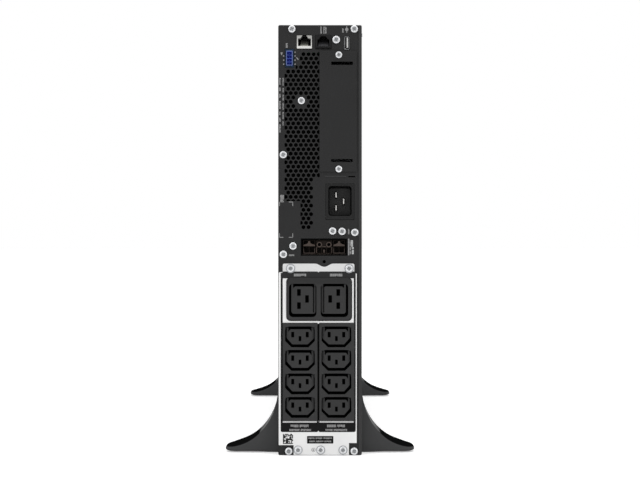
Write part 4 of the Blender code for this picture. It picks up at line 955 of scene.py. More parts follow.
SPECKLE_X, SPECKLE_Z, SPECKLE_COUNT = -37.2, 11.4, 11
SPECKLE = 10.1 / SPECKLE_COUNT
rng = random.Random(41)
cells = []
for i in range(SPECKLE_COUNT):
    for j in range(SPECKLE_COUNT):
        if rng.random() < 0.7 or i == 0 or j == 0:
            cx, cz = SPECKLE_X + (i + 0.5) * SPECKLE, SPECKLE_Z + (j + 0.5) * SPECKLE
            cells.append(print_on(square(cx - SPECKLE / 2, cx + SPECKLE / 2,
                                         cz - SPECKLE / 2, cz + SPECKLE / 2), Y_PLATE))
outlet_part("speckle_square", merged(cells), "black_ink")


def earth_parts(cx, cz, r, y):
    """Protective-earth sign: a ring, a stem and three bars."""
    bm = bmesh.new()
    rows = [[bm.verts.new((x, y - off, z)) for x, z in ring(cx, cz, radius, 24)]
            for off in (INK_THICK, 0.01) for radius in (r, r - 0.28)]
    rear_out, rear_in, seat_out, seat_in = rows
    for i in range(24):
        j = (i + 1) % 24
        bm.faces.new((rear_out[i], rear_out[j], rear_in[j], rear_in[i]))
        bm.faces.new((seat_out[i], seat_in[i], seat_in[j], seat_out[j]))
        bm.faces.new((rear_out[i], seat_out[i], seat_out[j], rear_out[j]))
        bm.faces.new((rear_in[i], rear_in[j], seat_in[j], seat_in[i]))
    parts = [closed(bm), print_on(square(cx - 0.16, cx + 0.16, cz, cz + r * 0.62), y)]
    for k in range(3):
        half = r * (0.6 - 0.2 * k)
        z = cz - k * r * 0.24
        parts.append(print_on(square(cx - half, cx + half, z - 0.14, z + 0.14), y))
    return parts


outlet_part("earth_sign", merged(earth_parts(-6.6, 5.4, 2.0, Y_PLATE)), "black_ink")

# ======================================================================= outlets
OUT_Y = cad("c19_outlet_pair").y0
OUT_BACK = cad("c19_outlet_pair").y1


def wedge(x_core, x_rim, y_core, y_rim, z0, z1):
    """Cutter that slopes a flank from the core's face down to the rim."""
    return prism([(x_core, y_core - 4.0), (x_rim, y_core - 4.0), (x_rim, y_rim), (x_core, y_core)],
                 "Z", z0, z1)


def shade_deep_faces(bm, depth, area, margin_z):
    """Faces inside the area and deeper than a plane take the second material: painted shade deep in
    the openings.
    """
    for face in bm.faces:
        c = face.calc_center_median()
        if (depth < c.y < OUT_BACK - 1.0 and area.x0 + 1 < c.x < area.x1 - 1
                and area.z0 + margin_z < c.z < area.z1 - margin_z):
            face.material_index = 1


# ---------------------------------------------------------- the pair of 16 A outlets
C19_CORE = [  # u, w from the outlet's centre, corner radius
    (-11.6, -13.2, 2.6), (13.2, -13.2, 2.6), (13.2, 16.5, 2.6), (11.2, 16.5, 0.2),
    (11.2, 11.9, 0.2), (9.2, 14.2, 1.8), (-7.8, 14.2, 1.8), (-9.8, 12.2, 0.2),
    (-9.8, 16.5, 0.2), (-11.6, 16.5, 2.2),
]
C19_SLOTS = [(-3.9, 8.1, 3.35), (4.2, 1.6, 3.75), (-3.9, -5.1, 3.35)]  # u, w, half height
C19_Z = 155.3


def mirrored(points, cx, side):
    """Place an outline about an outlet's centre, turned left to right for side -1."""
    out = [(cx + side * u, C19_Z + w) for u, w in points]
    return out if side > 0 else list(reversed(out))


C19_BODY = Area(C19.x0 + 0.25, C19.x1 - 0.5, C19.z0 + 0.65, C19.z1 - 0.1)
block = slab(rounded(*C19_BODY, 4.0, 8), OUT_Y, OUT_BACK)
recesses, grooves, slots = [], [], []
for cx, side in ((-17.25, 1), (14.4, -1)):
    outer = mirrored(rounded(-13.9, 13.7, -16.5, 16.9, 3.8, 6), cx, side)
    inner = mirrored(soften([row[:2] for row in C19_CORE], [row[2] for row in C19_CORE]), cx, side)
    recesses.append(slab(outer, OUT_Y - 3, OUT_Y + 0.9))
    grooves.append(cut(slab(outer, OUT_Y, -303.0), slab(inner, OUT_Y - 3, -300.0)))
    for core, rim, y_core, y_rim in ((-9.7, -13.3, 0.9, 2.2), (11.2, 13.5, 1.1, 2.0)):
        grooves.append(wedge(cx + side * core, cx + side * rim, OUT_Y + y_core, OUT_Y + y_rim,
                             C19_Z - 13.6, C19_Z + 14.6))
    x0, x1 = sorted((cx + side * 10.1, cx + side * 11.1))
    grooves.append(slab(square(x0, x1, C19_Z - 12.2, C19_Z + 12.6), OUT_Y - 3, OUT_Y + 3.4))
    for u, w, tall in C19_SLOTS:
        x, z = cx + side * u, C19_Z + w
        slots.append(slab(rounded(x - 1.85, x + 1.85, z - tall, z + tall, 0.3, 2),
                          OUT_Y - 3, -304.5))
block = cut(block, *recesses)
for groove in grooves:
    block = cut(block, groove)
block = cut(block, *slots)
shade_deep_faces(block, OUT_Y + 2.7, C19_BODY, margin_z=1)
outlet_part("outlet_block_16a", block, "outlet_16a", bevel=0.22, angle=40,
            stands_for="c19_outlet_pair", extra=("void",))

# -------------------------------------------------------- the two 10 A outlet strips
STRIP_Y = cad("c13_outlet_strip_left").y0
C13_TOP_Z, C13_PITCH = 118.8, 23.6
C13_HALF, C13_HIGH, C13_LOW, C13_CHAMFER = 29.9 / 2, 10.6, -10.4, 6.4
C13_SLOTS = [(-7.3, 2.3, 1.5, 2.75), (7.3, 2.3, 1.5, 2.75),     # u, w, half width, half height
             (0.0, -1.7, 1.35, 2.45)]


def c13_recess(cx, cz):
    """Outline with chamfered lower corners."""
    left, right, low = cx - C13_HALF, cx + C13_HALF, cz + C13_LOW
    points = [(left + C13_CHAMFER, low), (right - C13_CHAMFER, low), (right, low + C13_CHAMFER),
              (right, cz + C13_HIGH), (left, cz + C13_HIGH), (left, low + C13_CHAMFER)]
    return soften(points, [1.2, 1.2, 1.2, 4.4, 4.4, 1.2])


def c13_core(cx, cz, left, right):
    """Core outline with notched upper corners; left and right are its ends from cx."""
    points = [(-7.7, -7.45), (7.7, -7.45), (right, -1.0), (right, 9.4), (11.7, 9.4), (11.7, 4.9),
              (9.7, 7.7), (-9.7, 7.7), (-11.7, 4.9), (-11.7, 9.4), (left, 9.4), (left, -1.0)]
    return soften([(cx + u, cz + w) for u, w in points],
                  [1.4, 1.4, 1.0, 1.2, 0.2, 0.2, 1.4, 1.4, 0.2, 0.2, 1.2, 1.0])


for side, area, column, left, right in (("left", C13_LEFT, -20.1, -13.5, 14.5),
                                        ("right", C13_RIGHT, 16.5, -14.5, 13.5)):
    strip = slab(rounded(*area, 0.5, 3), STRIP_Y, OUT_BACK)
    recesses, grooves, flanks, slots = [], [], [], []
    for row in range(4):
        cz = C13_TOP_Z - row * C13_PITCH
        outer = c13_recess(column, cz)
        core = c13_core(column, cz, left, right)
        recesses.append(slab(outer, STRIP_Y - 3, STRIP_Y + 0.8))
        grooves.append(cut(slab(outer, STRIP_Y, -305.0), slab(core, STRIP_Y - 3, -300.0)))
        for sign in (-1, 1):
            flanks.append(wedge(column + sign * 11.2, column + sign * 14.7,
                                STRIP_Y + 0.8, STRIP_Y + 2.4, cz - 3.0, cz + 9.9))
        for u, w, half, tall in C13_SLOTS:
            x, z = column + u, cz + w
            slots.append(slab(rounded(x - half, x + half, z - tall, z + tall, 0.25, 2),
                              STRIP_Y - 3, -306.0))
    for cutters in (recesses, grooves, flanks, slots):
        strip = cut(strip, *cutters)
    shade_deep_faces(strip, STRIP_Y + 2.5, area, margin_z=0.5)
    outlet_part("outlet_strip_10a_" + side, strip, "outlet", bevel=0.2, angle=40,
                stands_for="c13_outlet_strip_" + side, extra=("void",))
# A near-black sheet behind the gap between the strips: painted shade in the gap.
gap_shade = slab(square(C13_LEFT.x1 + 0.15, C13_RIGHT.x0 - 0.15, 34.8, 131.9),
            Y_PLATE + 0.1, Y_PLATE + 0.8)
outlet_part("outlet_seam", gap_shade, "void")

# =================================================================== power inlet
inlet_y, inlet_back = cad("ac_inlet").y0, cad("ac_inlet").y1
INLET_PINS = ((16.2, 261.5), (23.8, 254.9), (16.2, 248.3))   # x, z
body = slab(rounded(*INLET, 1.2, 4), inlet_y, inlet_back)
body = cut(body, slab(rounded(INLET.x0 + 1.1, INLET.x1 - 1.1, INLET.z0 + 1.3, INLET.z1 - 1.0,
                              2.0, 4), inlet_y - 3, inlet_y + 0.5))
body = cut(body, slab(rounded(8.4, 31.8, 240.4, 270.4, 3.0, 6), inlet_y - 2, -296.4))
connector_part("inlet_body", body, "inlet_face", bevel=0.3, angle=40, stands_for="ac_inlet")
liner = slab(rounded(9.3, 30.9, 241.2, 268.4, 2.2, 5), -304.6, -296.5)
liner = cut(liner, slab(rounded(10.1, 30.1, 242.0, 267.6, 1.6, 5), -310.0, -300.6),
            *[slab(rounded(x - 1.2, x + 1.2, z - 3.7, z + 3.7, 0.4, 3), -310.0, -290.0)
              for x, z in INLET_PINS])
connector_part("inlet_floor", liner, "inlet_floor", bevel=0.3)
BLADE_SECTIONS = [  # half width, half height, corner radius, y
    (0.45, 2.3, 0.4, -311.6), (0.85, 2.9, 0.5, -310.9), (0.9, 3.1, 0.5, -296.9)]
for k, (x, z) in enumerate(INLET_PINS):
    blade = loft_y([(rounded(x - half, x + half, z - tall, z + tall, r, 3), y)
                    for half, tall, r, y in BLADE_SECTIONS])
    connector_part("inlet_blade_%d" % (k + 1), blade, "blade", angle=50)

# ================================================================== network jack
net_y = cad("network_jack").y0
shell = slab(rounded(NET.x0 + 0.25, NET.x1 - 0.25, NET.z0 + 0.4, NET.z1 - 0.25, 0.5, 3),
             net_y, -297.0)
mouth = [(-22.1, 410.9), (-9.15, 410.9), (-9.15, 418.5), (-11.8, 418.8), (-13.7, 421.7),
         (-13.7, 424.0), (-17.6, 424.0), (-17.6, 421.7), (-19.5, 418.8), (-22.1, 418.5)]
shell = cut(shell, slab(soften(mouth, [0.3, 0.3, 0.3, 0.3, 0, 0, 0, 0, 0.3, 0.3], 2),
                        net_y - 4, net_y + 4.0))
cavity = [(-22.12, 410.9), (-9.13, 410.9), (-9.13, 418.2), (-11.7, 418.5), (-13.4, 421.3),
          (-17.9, 421.3), (-19.6, 418.5), (-22.12, 418.2)]
shell = cut(shell, slab(cavity, net_y + 2.0, -300.0))
shield_part("network_shield", shell, "shield", bevel=0.2, angle=40, stands_for="network_jack")
liner = slab([(-21.95, 411.1), (-9.3, 411.1), (-9.3, 418.0), (-11.9, 418.3), (-13.5, 421.2),
              (-17.8, 421.2), (-19.4, 418.3), (-21.95, 418.0)], -313.4, -300.2)
liner = cut(liner, slab([(-21.65, 411.4), (-9.6, 411.4), (-9.6, 417.8), (-12.1, 418.0),
                         (-13.7, 420.9), (-17.6, 420.9), (-19.2, 418.0), (-21.65, 417.8)],
                        -316.0, -301.0))
connector_part("network_liner", liner, "conn", bevel=0.1)
# The ramp inside the network jack takes the floor finish with its painted shade.
NET_RAMP = [  # y, z
    (-314.8, 410.95), (-302.5, 410.95), (-302.5, 418.4), (-305.5, 418.0), (-312.0, 413.6),
    (-314.4, 411.5)]
connector_part("network_ramp", prism(NET_RAMP, "X", -19.6, -11.7), "jack_floor", bevel=0.15)

# =================================================================== serial jack
serial_y = cad("serial_jack").y0
shell = slab(rounded(*SERIAL, 0.5, 3), serial_y, -297.0)
mouth = [(-2.6, 410.8), (9.3, 410.8), (9.3, 417.6), (7.7, 418.0), (7.0, 419.6), (5.4, 420.9),
         (1.3, 420.9), (-0.3, 419.6), (-1.0, 418.0), (-2.6, 417.6)]
shell = cut(shell, slab(soften(mouth, 0.35, 2), serial_y - 4, -300.0),
            box(-3.9, 10.6, serial_y - 3, serial_y + 1.6, 408.1, 409.3))
connector_part("serial_shell", shell, "conn", bevel=0.25, angle=40, stands_for="serial_jack")
# The ramp inside the serial jack takes the floor finish with its painted shade.
SERIAL_RAMP = [  # y, z
    (-315.0, 410.85), (-300.2, 410.85), (-300.2, 418.6), (-306.0, 418.0), (-314.6, 411.7)]
connector_part("serial_ramp", prism(SERIAL_RAMP, "X", -1.7, 8.4), "serial_floor", bevel=0.15)

# ====================================================================== USB port
usb_y = cad("usb_port").y0
shell = slab(rounded(*USB, 0.9, 4), usb_y, -299.0)
shell = cut(shell, slab(rounded(USB.x0 + 0.5, USB.x1 - 0.5, USB.z0 + 0.6, USB.z1 - 0.6, 0.6, 4),
                        usb_y - 4, -303.5))
# The port's shell takes the black case finish: painted shade for the port's dark inside.
shield_part("usb_shell", shell, "case", bevel=0.12, stands_for="usb_port")
lip = frame_ring(rounded(*grow(USB, -0.1), 0.9, 4),
                 rounded(USB.x0 + 0.42, USB.x1 - 0.42, USB.z0 + 0.5, USB.z1 - 0.5, 0.6, 4),
                 usb_y - 0.2, usb_y - 0.02)
shield_part("usb_rim", lip, "recess", bevel=0.05)
shield_part("usb_tongue", box(26.75, 28.3, -315.0, -303.6, 409.2, 419.6), "usb_white", bevel=0.25)
springs = [box(24.65, 25.3, -315.1, -306.0, 410.0, 419.4),
           box(24.9, 26.2, -315.2, -312.0, 407.85, 408.75)]
shield_part("usb_springs", merged(springs), "spring", bevel=0.1)

# =================================================================== stop header
PLUG = area_of("epo_plug")
PLUG = PLUG._replace(x0=PLUG.x0 + 0.2, z1=PLUG.z1 - 1.0)
PLUG_X = (PLUG.x0 + PLUG.x1) / 2
header = slab(rounded(*EPO, 0.6, 3), cad("epo_header").y0, -301.0)
header = cut(header, slab(square(*grow(PLUG, GAP)), cad("epo_header").y0 - 5, -305.0))
connector_part("stop_header", header, "navy", bevel=0.15, stands_for="epo_header")

plug_y = cad("epo_plug").y0
cell_z = [403.4 - 3.45 * k for k in range(4)]
plug = slab(rounded(*PLUG, 0.35, 2), plug_y, -305.4)
plug = cut(plug, *[slab(rounded(PLUG.x0 + 0.85, PLUG.x1 - 0.85, z - 1.4, z + 1.4, 0.5, 3),
                        plug_y - 3, plug_y + 1.5) for z in cell_z])
# Faces inside the cells take the darker blue: painted shade.
for face in plug.faces:
    c = face.calc_center_median()
    if plug_y + 0.2 < c.y < plug_y + 1.9 and PLUG.x0 + 0.8 < c.x < PLUG.x1 - 0.8:
        face.material_index = 2
epo_part("stop_plug", plug, "blue", bevel=0.14, stands_for="epo_plug",
         extra=("blue_edge", "blue_cell_shade"))
rim = frame_ring(rounded(*grow(PLUG, -0.05), 0.35, 2), rounded(*grow(PLUG, -0.75), 0.3, 2),
                 plug_y - 0.2, plug_y - 0.01)
epo_part("stop_plug_rim", rim, "blue_edge")

# Shallow printed arcs between the cells.
ARC_STEP, ARC_SAG, ARC_HALF = 0.42, 0.09, 0.16
arcs = []
for z in cell_z[:-1]:
    for k in range(-4, 4):
        a, b = k * ARC_STEP, (k + 1) * ARC_STEP
        points = [(PLUG_X + u, z - 1.72 + w - ARC_SAG * u * u)
                  for u, w in ((a, -ARC_HALF), (b, -ARC_HALF), (b, ARC_HALF), (a, ARC_HALF))]
        arcs.append(sheet(points, plug_y, 0.06))
epo_part("stop_plug_arcs", merged(arcs), "blue")
CLAMP = [(0.0, 0.75), (0.55, 0.7), (0.85, 1.0), (0.85, 1.6), (0.0, 1.6)]   # radius, depth
heads = [lathe_y(PLUG_X, z - 0.2, [(r, plug_y + depth) for r, depth in CLAMP], 20) for z in cell_z]
epo_part("stop_plug_clamps", merged(heads), "blue_mid", angle=40)

# ==================================================== external battery connector
battery_y = cad("external_battery_connector").y0
battery_back = cad("external_battery_connector").y1
Y_OPEN = -316.0        # cutters in the housings start here, outside the connector
# The connector's shell takes the near-black shade finish: painted shade round the housings.
shell = slab(square(*BATTERY), battery_y, battery_back)
shell = cut(shell, slab(square(BATTERY.x0 + 1.0, BATTERY.x1 - 1.0, BATTERY.z0 + 1.2,
                               BATTERY.z1 - 1.0), battery_y - 4, -300.0))
battery_part("battery_port_shell", shell, "void", bevel=0.15,
             stands_for="external_battery_connector")
for side, a, b in (("left", -17.2, -4.6), ("right", 13.0, 25.4)):
    mid = (a + b) / 2
    # Housings in the shaded copy of the brown plastic (painted shade).
    house = slab(square(a, b, 202.0, 215.8), -311.4, -299.8)
    house = cut(house,
                slab(rounded(a + 0.8, mid - 0.3, 203.4, 209.2, 0.6, 3), Y_OPEN, -301.5),
                slab(rounded(mid + 0.3, b - 0.8, 203.4, 209.2, 0.6, 3), Y_OPEN, -301.5),
                slab(soften(square(a + 0.8, b - 0.8, 210.9, 215.2), 0.4, 2), Y_OPEN, -303.5))
    battery_part("battery_port_" + side, house, "brown_dark", bevel=0.2)
    points = [(a + 0.5, 210.0), (b - 0.5, 210.0), (b - 0.5, 211.3), (mid + 2.6, 212.2),
              (mid + 1.2, 213.2), (mid + 0.9, 215.0), (mid - 0.9, 215.0), (mid - 1.2, 213.2),
              (mid - 2.6, 212.2), (a + 0.5, 211.3)]
    tongue = slab(soften(points, 0.3, 2), -313.4, -302.0)
    battery_part("battery_port_tongue_" + side, tongue, "brown", bevel=0.3, segments=3)
    points = [(a + 0.6, 203.5), (a + 0.6, 207.5), (a + 1.0, 207.5), (a + 1.0, 203.3),
              (b - 1.0, 203.3), (b - 1.0, 207.5), (b - 0.6, 207.5), (b - 0.6, 202.7),
              (a + 0.6, 202.7)]
    battery_part("battery_port_lip_" + side, slab(soften(points, 0.1, 2), -312.2, -305.0), "brown")

PILOT_X, PILOT_Z = (-0.6, 8.9), 211.5
# Middle block in the same shaded copy of the brown plastic (painted shade).
middle = slab(square(-3.9, 12.3, 202.0, 215.8), -311.6, -299.8)
middle = cut(middle, *[slab(ring(x, PILOT_Z, 2.0, 24), Y_OPEN, -303.0) for x in PILOT_X],
             *[slab(square(x0, x1, 203.2, 208.2), Y_OPEN, -303.0)
               for x0, x1 in ((-2.7, 1.4), (2.2, 6.0), (6.8, 10.9))])
battery_part("battery_port_middle", middle, "brown_dark", bevel=0.2)
tubes = [frame_ring(ring(x, PILOT_Z, 2.7, 32), ring(x, PILOT_Z, 1.75, 32), -313.6, -311.2)
         for x in PILOT_X]
battery_part("battery_port_pilots", merged(tubes), "brown", bevel=0.15)
ribs = [box(x0, x1, -312.4, -305.0, z0, z1) for x0, x1, z0, z1 in (
    (-3.9, -3.3, 203.0, 209.0), (11.6, 12.2, 203.0, 209.0), (2.0, 6.2, 209.2, 209.9),
    (3.4, 4.8, 203.4, 206.4))]
battery_part("battery_port_ribs", merged(ribs), "brown", bevel=0.12)
# The sill takes the lit copy of the brown plastic (painted light).
sill = slab(square(BATTERY.x0 + 1.1, BATTERY.x1 - 1.1, 200.75, 201.9), -314.2, -300.0)
battery_part("battery_port_sill", sill, "brown_light", bevel=0.25)

# ========================================================= printing on the panel
# x0, x1, z0, z1, seed, words; lines that run up the panel, but for the level one
UPRIGHT_LINES = [
    (-37.6, -36.5, 331.2, 378.9, 21, 6), (-40.95, -39.5, 324.2, 378.9, 22, 7),
    (0.4, 1.9, 423.6, 430.6, 23, 1), (3.4, 4.6, 423.6, 430.6, 24, 2),
    (5.2, 6.5, 423.6, 430.6, 25, 2), (22.3, 23.9, 424.6, 429.2, 26, 1),
    (-34.4, -32.4, 409.3, 413.8, 27, 1), (29.75, 31.2, 201.8, 216.0, 28, 3),
    (28.2, 29.6, 221.9, 227.4, 30, 1),
]
LEVEL_LINE = (-31.2, -25.9, 199.9, 201.6, 31, 1)
LOW_UPRIGHT_LINE = (-40.0, -36.3, 254.3, 261.4, 32, 2)
marks = print_lines(UPRIGHT_LINES, y=Y_PANEL, along="Z")
marks += dashes(*LEVEL_LINE, y=Y_PANEL)
marks += dashes(*LOW_UPRIGHT_LINE, y=Y_PANEL, along="Z")
marks.append(print_on(square(28.3, 29.3, 200.8, 217.6), Y_PANEL))
case_part("panel_marks", merged(marks), "grey_ink")
bold = dashes(31.3, 33.1, 209.4, 216.0, seed=51, words=1, y=Y_PANEL, along="Z", gap=0.3)
bold += dashes(32.0, 33.9, 201.9, 208.9, seed=52, words=2, y=Y_PANEL, along="Z")
case_part("panel_marks_bold", merged(bold), "pale_ink")

# Right-angled marks at the corners of a blank field.
CORNER_ARM, CORNER_HALF = 4.0, 0.35
marks = []
for cx, cz, side, rise in ((-40.7, 254.3, 1, -1), (-27.4, 254.3, -1, -1),
                           (-40.7, 218.8, 1, 1), (-27.4, 218.8, -1, 1)):
    x0, x1 = sorted((cx, cx + side * CORNER_ARM))
    z0, z1 = sorted((cz, cz + rise * CORNER_ARM))
    marks.append(print_on(square(x0, x1, cz - CORNER_HALF, cz + CORNER_HALF), Y_PANEL))
    marks.append(print_on(square(cx - CORNER_HALF, cx + CORNER_HALF, z0, z1), Y_PANEL))
case_part("label_corner_marks", merged(marks), "grey_ink")

# Disc with a bar, dots beside the stop header and two small wedges.
marks = [print_on(ring(26.9, 427.6, 1.7, 20), Y_PANEL),
         sheet(square(26.5, 27.3, 424.4, 431.0), Y_PANEL - 0.05, 0.03)]
marks += [print_on(ring(x, z, 0.72, 10), Y_PANEL)
          for x in (-36.5, -25.1) for z in (401.0, 396.8, 392.8)]
marks += [print_on(ring(-25.1, 404.8, 0.72, 10), Y_PANEL),
          print_on(soften([(-39.8, 404.6), (-37.4, 404.6), (-38.6, 401.2)], 0.2, 2), Y_PANEL),
          print_on(soften([(-24.0, 399.2), (-22.0, 396.8), (-21.4, 397.6), (-23.4, 400.0)],
                          0.15, 2), Y_PANEL)]
case_part("port_icons", merged(marks), "grey_ink")

# ========================================================================== feet
FOOT_TIP, FOOT_RISE, FOOT_LIP = 96.3, 72.0, 6.0
FOOT_POWER = 2.11                 # exponent of the upper sweep's curve
FOOT_INNER = HALF_WIDTH + 0.3
FOOT_SPAN = FOOT_TIP - 0.3 - FOOT_INNER
TOE_NEAR, TOE_REACH, TOE_SWEEP = 4.0, 20.3, 36.6
EDGE_DROP, EDGE_LIFT = 1.2, 0.6   # rounding of the end faces' top and bottom edges
TOP_STEPS = 30
NEAR_STEPS = [0.0, 0.12, 0.4, 0.9, 1.6, 2.6, 3.9, 6.0]
FAR_STEPS = [0.0, 0.15, 0.5, 1.0, 1.8, 3.0, 4.8, 7.2, 10.2, 14.0, 18.5, 24.0, 31.0]


def foot_top(x):
    """Height of the foot's upper sweep at a distance x from the middle plane."""
    q = min(1.0, max(0.0, (FOOT_TIP - 0.3 - x) / FOOT_SPAN))
    sag = 0.5 * min(1.0, q / 0.12) * min(1.0, (1.0 - q) / 0.12)
    return (FOOT_RISE - (FOOT_RISE - FOOT_LIP) * (1.0 - q ** FOOT_POWER) ** (1 / FOOT_POWER)
            - sag)


def sole(x):
    """The sole rises a little towards the toe."""
    t = min(1.0, max(0.0, (x - 44.0) / 26.0))
    return 0.8 * t * t * (3.0 - 2.0 * t)


def round_off(u):
    """Quarter circle from 0 at u = 0 to 1 at u = 1."""
    return 1.0 - math.sqrt(max(0.0, 1.0 - u * u))


def toe_pull(near, far):
    """How much the toe is drawn in at a slice, from its distance to the two end faces."""
    pull = 0.0
    if near < TOE_NEAR:
        pull = TOE_NEAR * round_off(1.0 - near / TOE_NEAR)
    if far < TOE_SWEEP:
        pull = max(pull, TOE_REACH * round_off(1.0 - far / TOE_SWEEP))
    return pull


def foot_section(pull, drop, lift):
    """One slice: sole, rounded toe, swept top; pull shortens it, drop lowers its top."""
    tip = FOOT_TIP - pull
    top = foot_top(tip - 0.6) - drop
    flat = [FOOT_INNER + (tip - 8.0 - FOOT_INNER) * k / 8 for k in range(9)]
    out = [(x, lift + sole(x)) for x in flat]
    rise = lift + sole(tip)
    out += [(tip - 3.6, rise + 0.4), (tip - 1.5, rise + 0.95), (tip - 0.4, rise + 1.6),
            (tip, max(rise + 2.2, top * 0.62)), (tip - 0.15, top - 0.9), (tip - 0.6, top - 0.25)]
    q = min(1.0, (FOOT_TIP - 0.3 - (tip - 1.6)) / FOOT_SPAN)
    start = math.asin(q ** (FOOT_POWER / 2))
    for i in range(TOP_STEPS + 1):
        t = start + (math.pi / 2 - start) * i / TOP_STEPS
        x = FOOT_TIP - 0.3 - FOOT_SPAN * math.sin(t) ** (2 / FOOT_POWER)
        out.append((x, foot_top(x) - drop * min(1.0, 0.3 + 0.7 * (x - FOOT_INNER) / 25.0)))
    return out


def add_foot(node, sign):
    near, far = cad(node).y0, cad(node).y1
    sections = []
    for y in [near + d for d in NEAR_STEPS] + [far - d for d in reversed(FAR_STEPS)]:
        edge = min(y - near, far - y)
        drop = EDGE_DROP * round_off(1.0 - min(1.0, edge / EDGE_DROP))
        lift = EDGE_LIFT * (1.0 - min(1.0, edge / EDGE_LIFT))
        points = foot_section(toe_pull(y - near, far - y), drop, lift)
        sections.append(([(sign * x, z) for x, z in points], y))
    piece(node + "_moulding", loft_y(sections), "foot", "foot_plastic", angle=44, stands_for=node)


for end in ("rear", "front"):
    add_foot("foot_%s_left" % end, -1)
    add_foot("foot_%s_right" % end, 1)

# ================================================================== front bezel
ROLL = 3.6                        # radius of the rolled front edge
WINDOW = Area(-34.3, 34.3, 326.0, 414.5)
sections = [(rounded(-HALF_WIDTH, HALF_WIDTH, 0.0, HEIGHT, 4.0, 8), Y_BEZEL_BACK)]
for k in range(9):
    t = math.pi / 2 * k / 8
    inset = ROLL * (1.0 - math.cos(t))
    sections.append((rounded(-HALF_WIDTH + inset, HALF_WIDTH - inset, inset, HEIGHT - inset,
                             max(1.2, 4.0 - inset * 0.5), 8),
                     Y_FRONT - ROLL + ROLL * math.sin(t)))
front = loft_y(sections)
front = cut(front, slab(rounded(-HALF_WIDTH + 2.2, HALF_WIDTH - 2.2, 2.2, HEIGHT - 2.2, 2.5),
                        Y_BEZEL_BACK - 5, Y_FRONT - 2.2))
tabs = [box(x - 8.0, x + 8.0, cad("front_bezel").y0, Y_BEZEL_BACK + 8.0, z, z + 1.9)
        for x in (-27.0, 27.0) for z in (1.6, HEIGHT - 3.5)]
front = join(front, *tabs)
flare = loft_y([(rounded(*grow(WINDOW, w), 3.0 + w, 8), Y_FRONT + off)
                for w, off in ((0.0, -8.0), (0.0, -1.4), (1.4, 0.01), (1.4, 3.0))])
channel = frame_ring(rounded(*grow(WINDOW, 3.0), 6.0, 8), rounded(*grow(WINDOW, 2.0), 5.0, 8),
                     Y_FRONT + 2.0, Y_FRONT - 0.55)
front = cut(front, flare, channel)
front = cut(front, box(-HALF_WIDTH - 3.0, HALF_WIDTH + 3.0, Y_FRONT - 0.6, Y_FRONT + 3.0,
                       317.0, 317.8))     # seam line across the face
front = cut(front, *[slab(rounded(-31.0, 31.0, z, z + 5.0, 2.4, 6), Y_FRONT - 8, Y_FRONT + 5)
                     for z in range(30, 312, 12)])
bezel_part("bezel_shell", front, "bezel", bevel=0.3, angle=36, stands_for="front_bezel")
trim = frame_ring(rounded(*grow(WINDOW, 2.95), 5.95, 8), rounded(*grow(WINDOW, 2.05), 5.05, 8),
                  Y_FRONT + 0.12, Y_FRONT - 0.5)
bezel_part("window_trim", trim, "silver", bevel=0.1)
foam = slab(square(-34.0, 34.0, 27.0, 309.0), Y_FRONT - 5.6, Y_FRONT - 2.6)
bezel_part("filter_foam", foam, "mesh", bevel=0.5)
badge = slab(rounded(-13.0, 13.0, 319.6, 323.0, 0.9, 4), Y_FRONT - 0.2, Y_FRONT + 0.35)
bezel_part("blank_badge", badge, "silver", bevel=0.15)
bars = [slab(rounded(x - 0.5, x + 0.5, 20.0, 24.5, 0.45, 4), Y_FRONT - 0.2, Y_FRONT + 0.3)
        for x in [-24.0 + 6.0 * k for k in range(9)]]
bezel_part("bezel_grip_ribs", merged(bars), "bezel", bevel=0.1)

# ======================================================================= display
Y_HOUSING = cad("display_housing").y1
LENS = cad("display_lens")
glass = slab(rounded(*grow(area_of("display_lens"), -0.05), 1.0, 5), LENS.y0, LENS.y1)
display_part("display_glass", glass, "lcd", bevel=0.25, segments=3, stands_for="display_lens")


def face_mark(points, y=LENS.y1, thick=0.03):
    """Thin layer on a face that looks to the front."""
    return slab(points, y + 0.005, y + thick)


def outline_mark(x0, x1, z0, z1, width, r=0.6):
    return frame_ring(rounded(x0, x1, z0, z1, r, 3),
                      rounded(x0 + width, x1 - width, z0 + width, z1 - width,
                              max(0.1, r - width), 3), LENS.y1 + 0.03, LENS.y1 + 0.005)


# Border, head rule, a four-cell gauge with its nub, and rising bars.
marks = [outline_mark(-21.8, 21.8, 364.4, 400.2, 0.25, r=1.2)]
marks += [face_mark(square(-20.0, 20.0, 392.6, 392.85))]
marks += [outline_mark(-18.5, -8.5, 394.2, 398.4, 0.35)]
marks += [face_mark(square(-18.0 + 2.3 * k, -16.2 + 2.3 * k, 394.9, 397.7)) for k in range(4)]
marks += [face_mark(square(-8.4, -7.6, 395.4, 397.2))]
marks += [face_mark(square(2.0 + 3.0 * k, 4.2 + 3.0 * k, 394.4, 395.2 + 0.75 * k))
          for k in range(5)]
# Three rows: a plain bar, then a boxed row of cells.
for row, (bar, cell_count) in enumerate(((9.0, 9), (12.0, 6), (7.5, 11))):
    z = 387.2 - 4.6 * row
    marks += [face_mark(square(-18.8, -18.8 + bar, z, z + 1.3))]
    marks += [outline_mark(-2.0, 19.0, z - 0.3, z + 1.6, 0.2, r=0.3)]
    marks += [face_mark(square(-1.4 + 1.7 * k, 0.0 + 1.7 * k, z + 0.1, z + 1.2))
              for k in range(cell_count)]
# Two discs joined to a box between them.
marks += [face_mark(ring(-14.0, 369.6, 2.2, 20)), face_mark(ring(14.0, 369.6, 2.2, 20)),
          outline_mark(-4.5, 4.5, 367.2, 372.0, 0.3),
          face_mark(square(-11.4, -5.0, 369.4, 369.8)), face_mark(square(5.0, 11.4, 369.4, 369.8))]
display_part("display_segments", merged(marks), "lcd_segment")

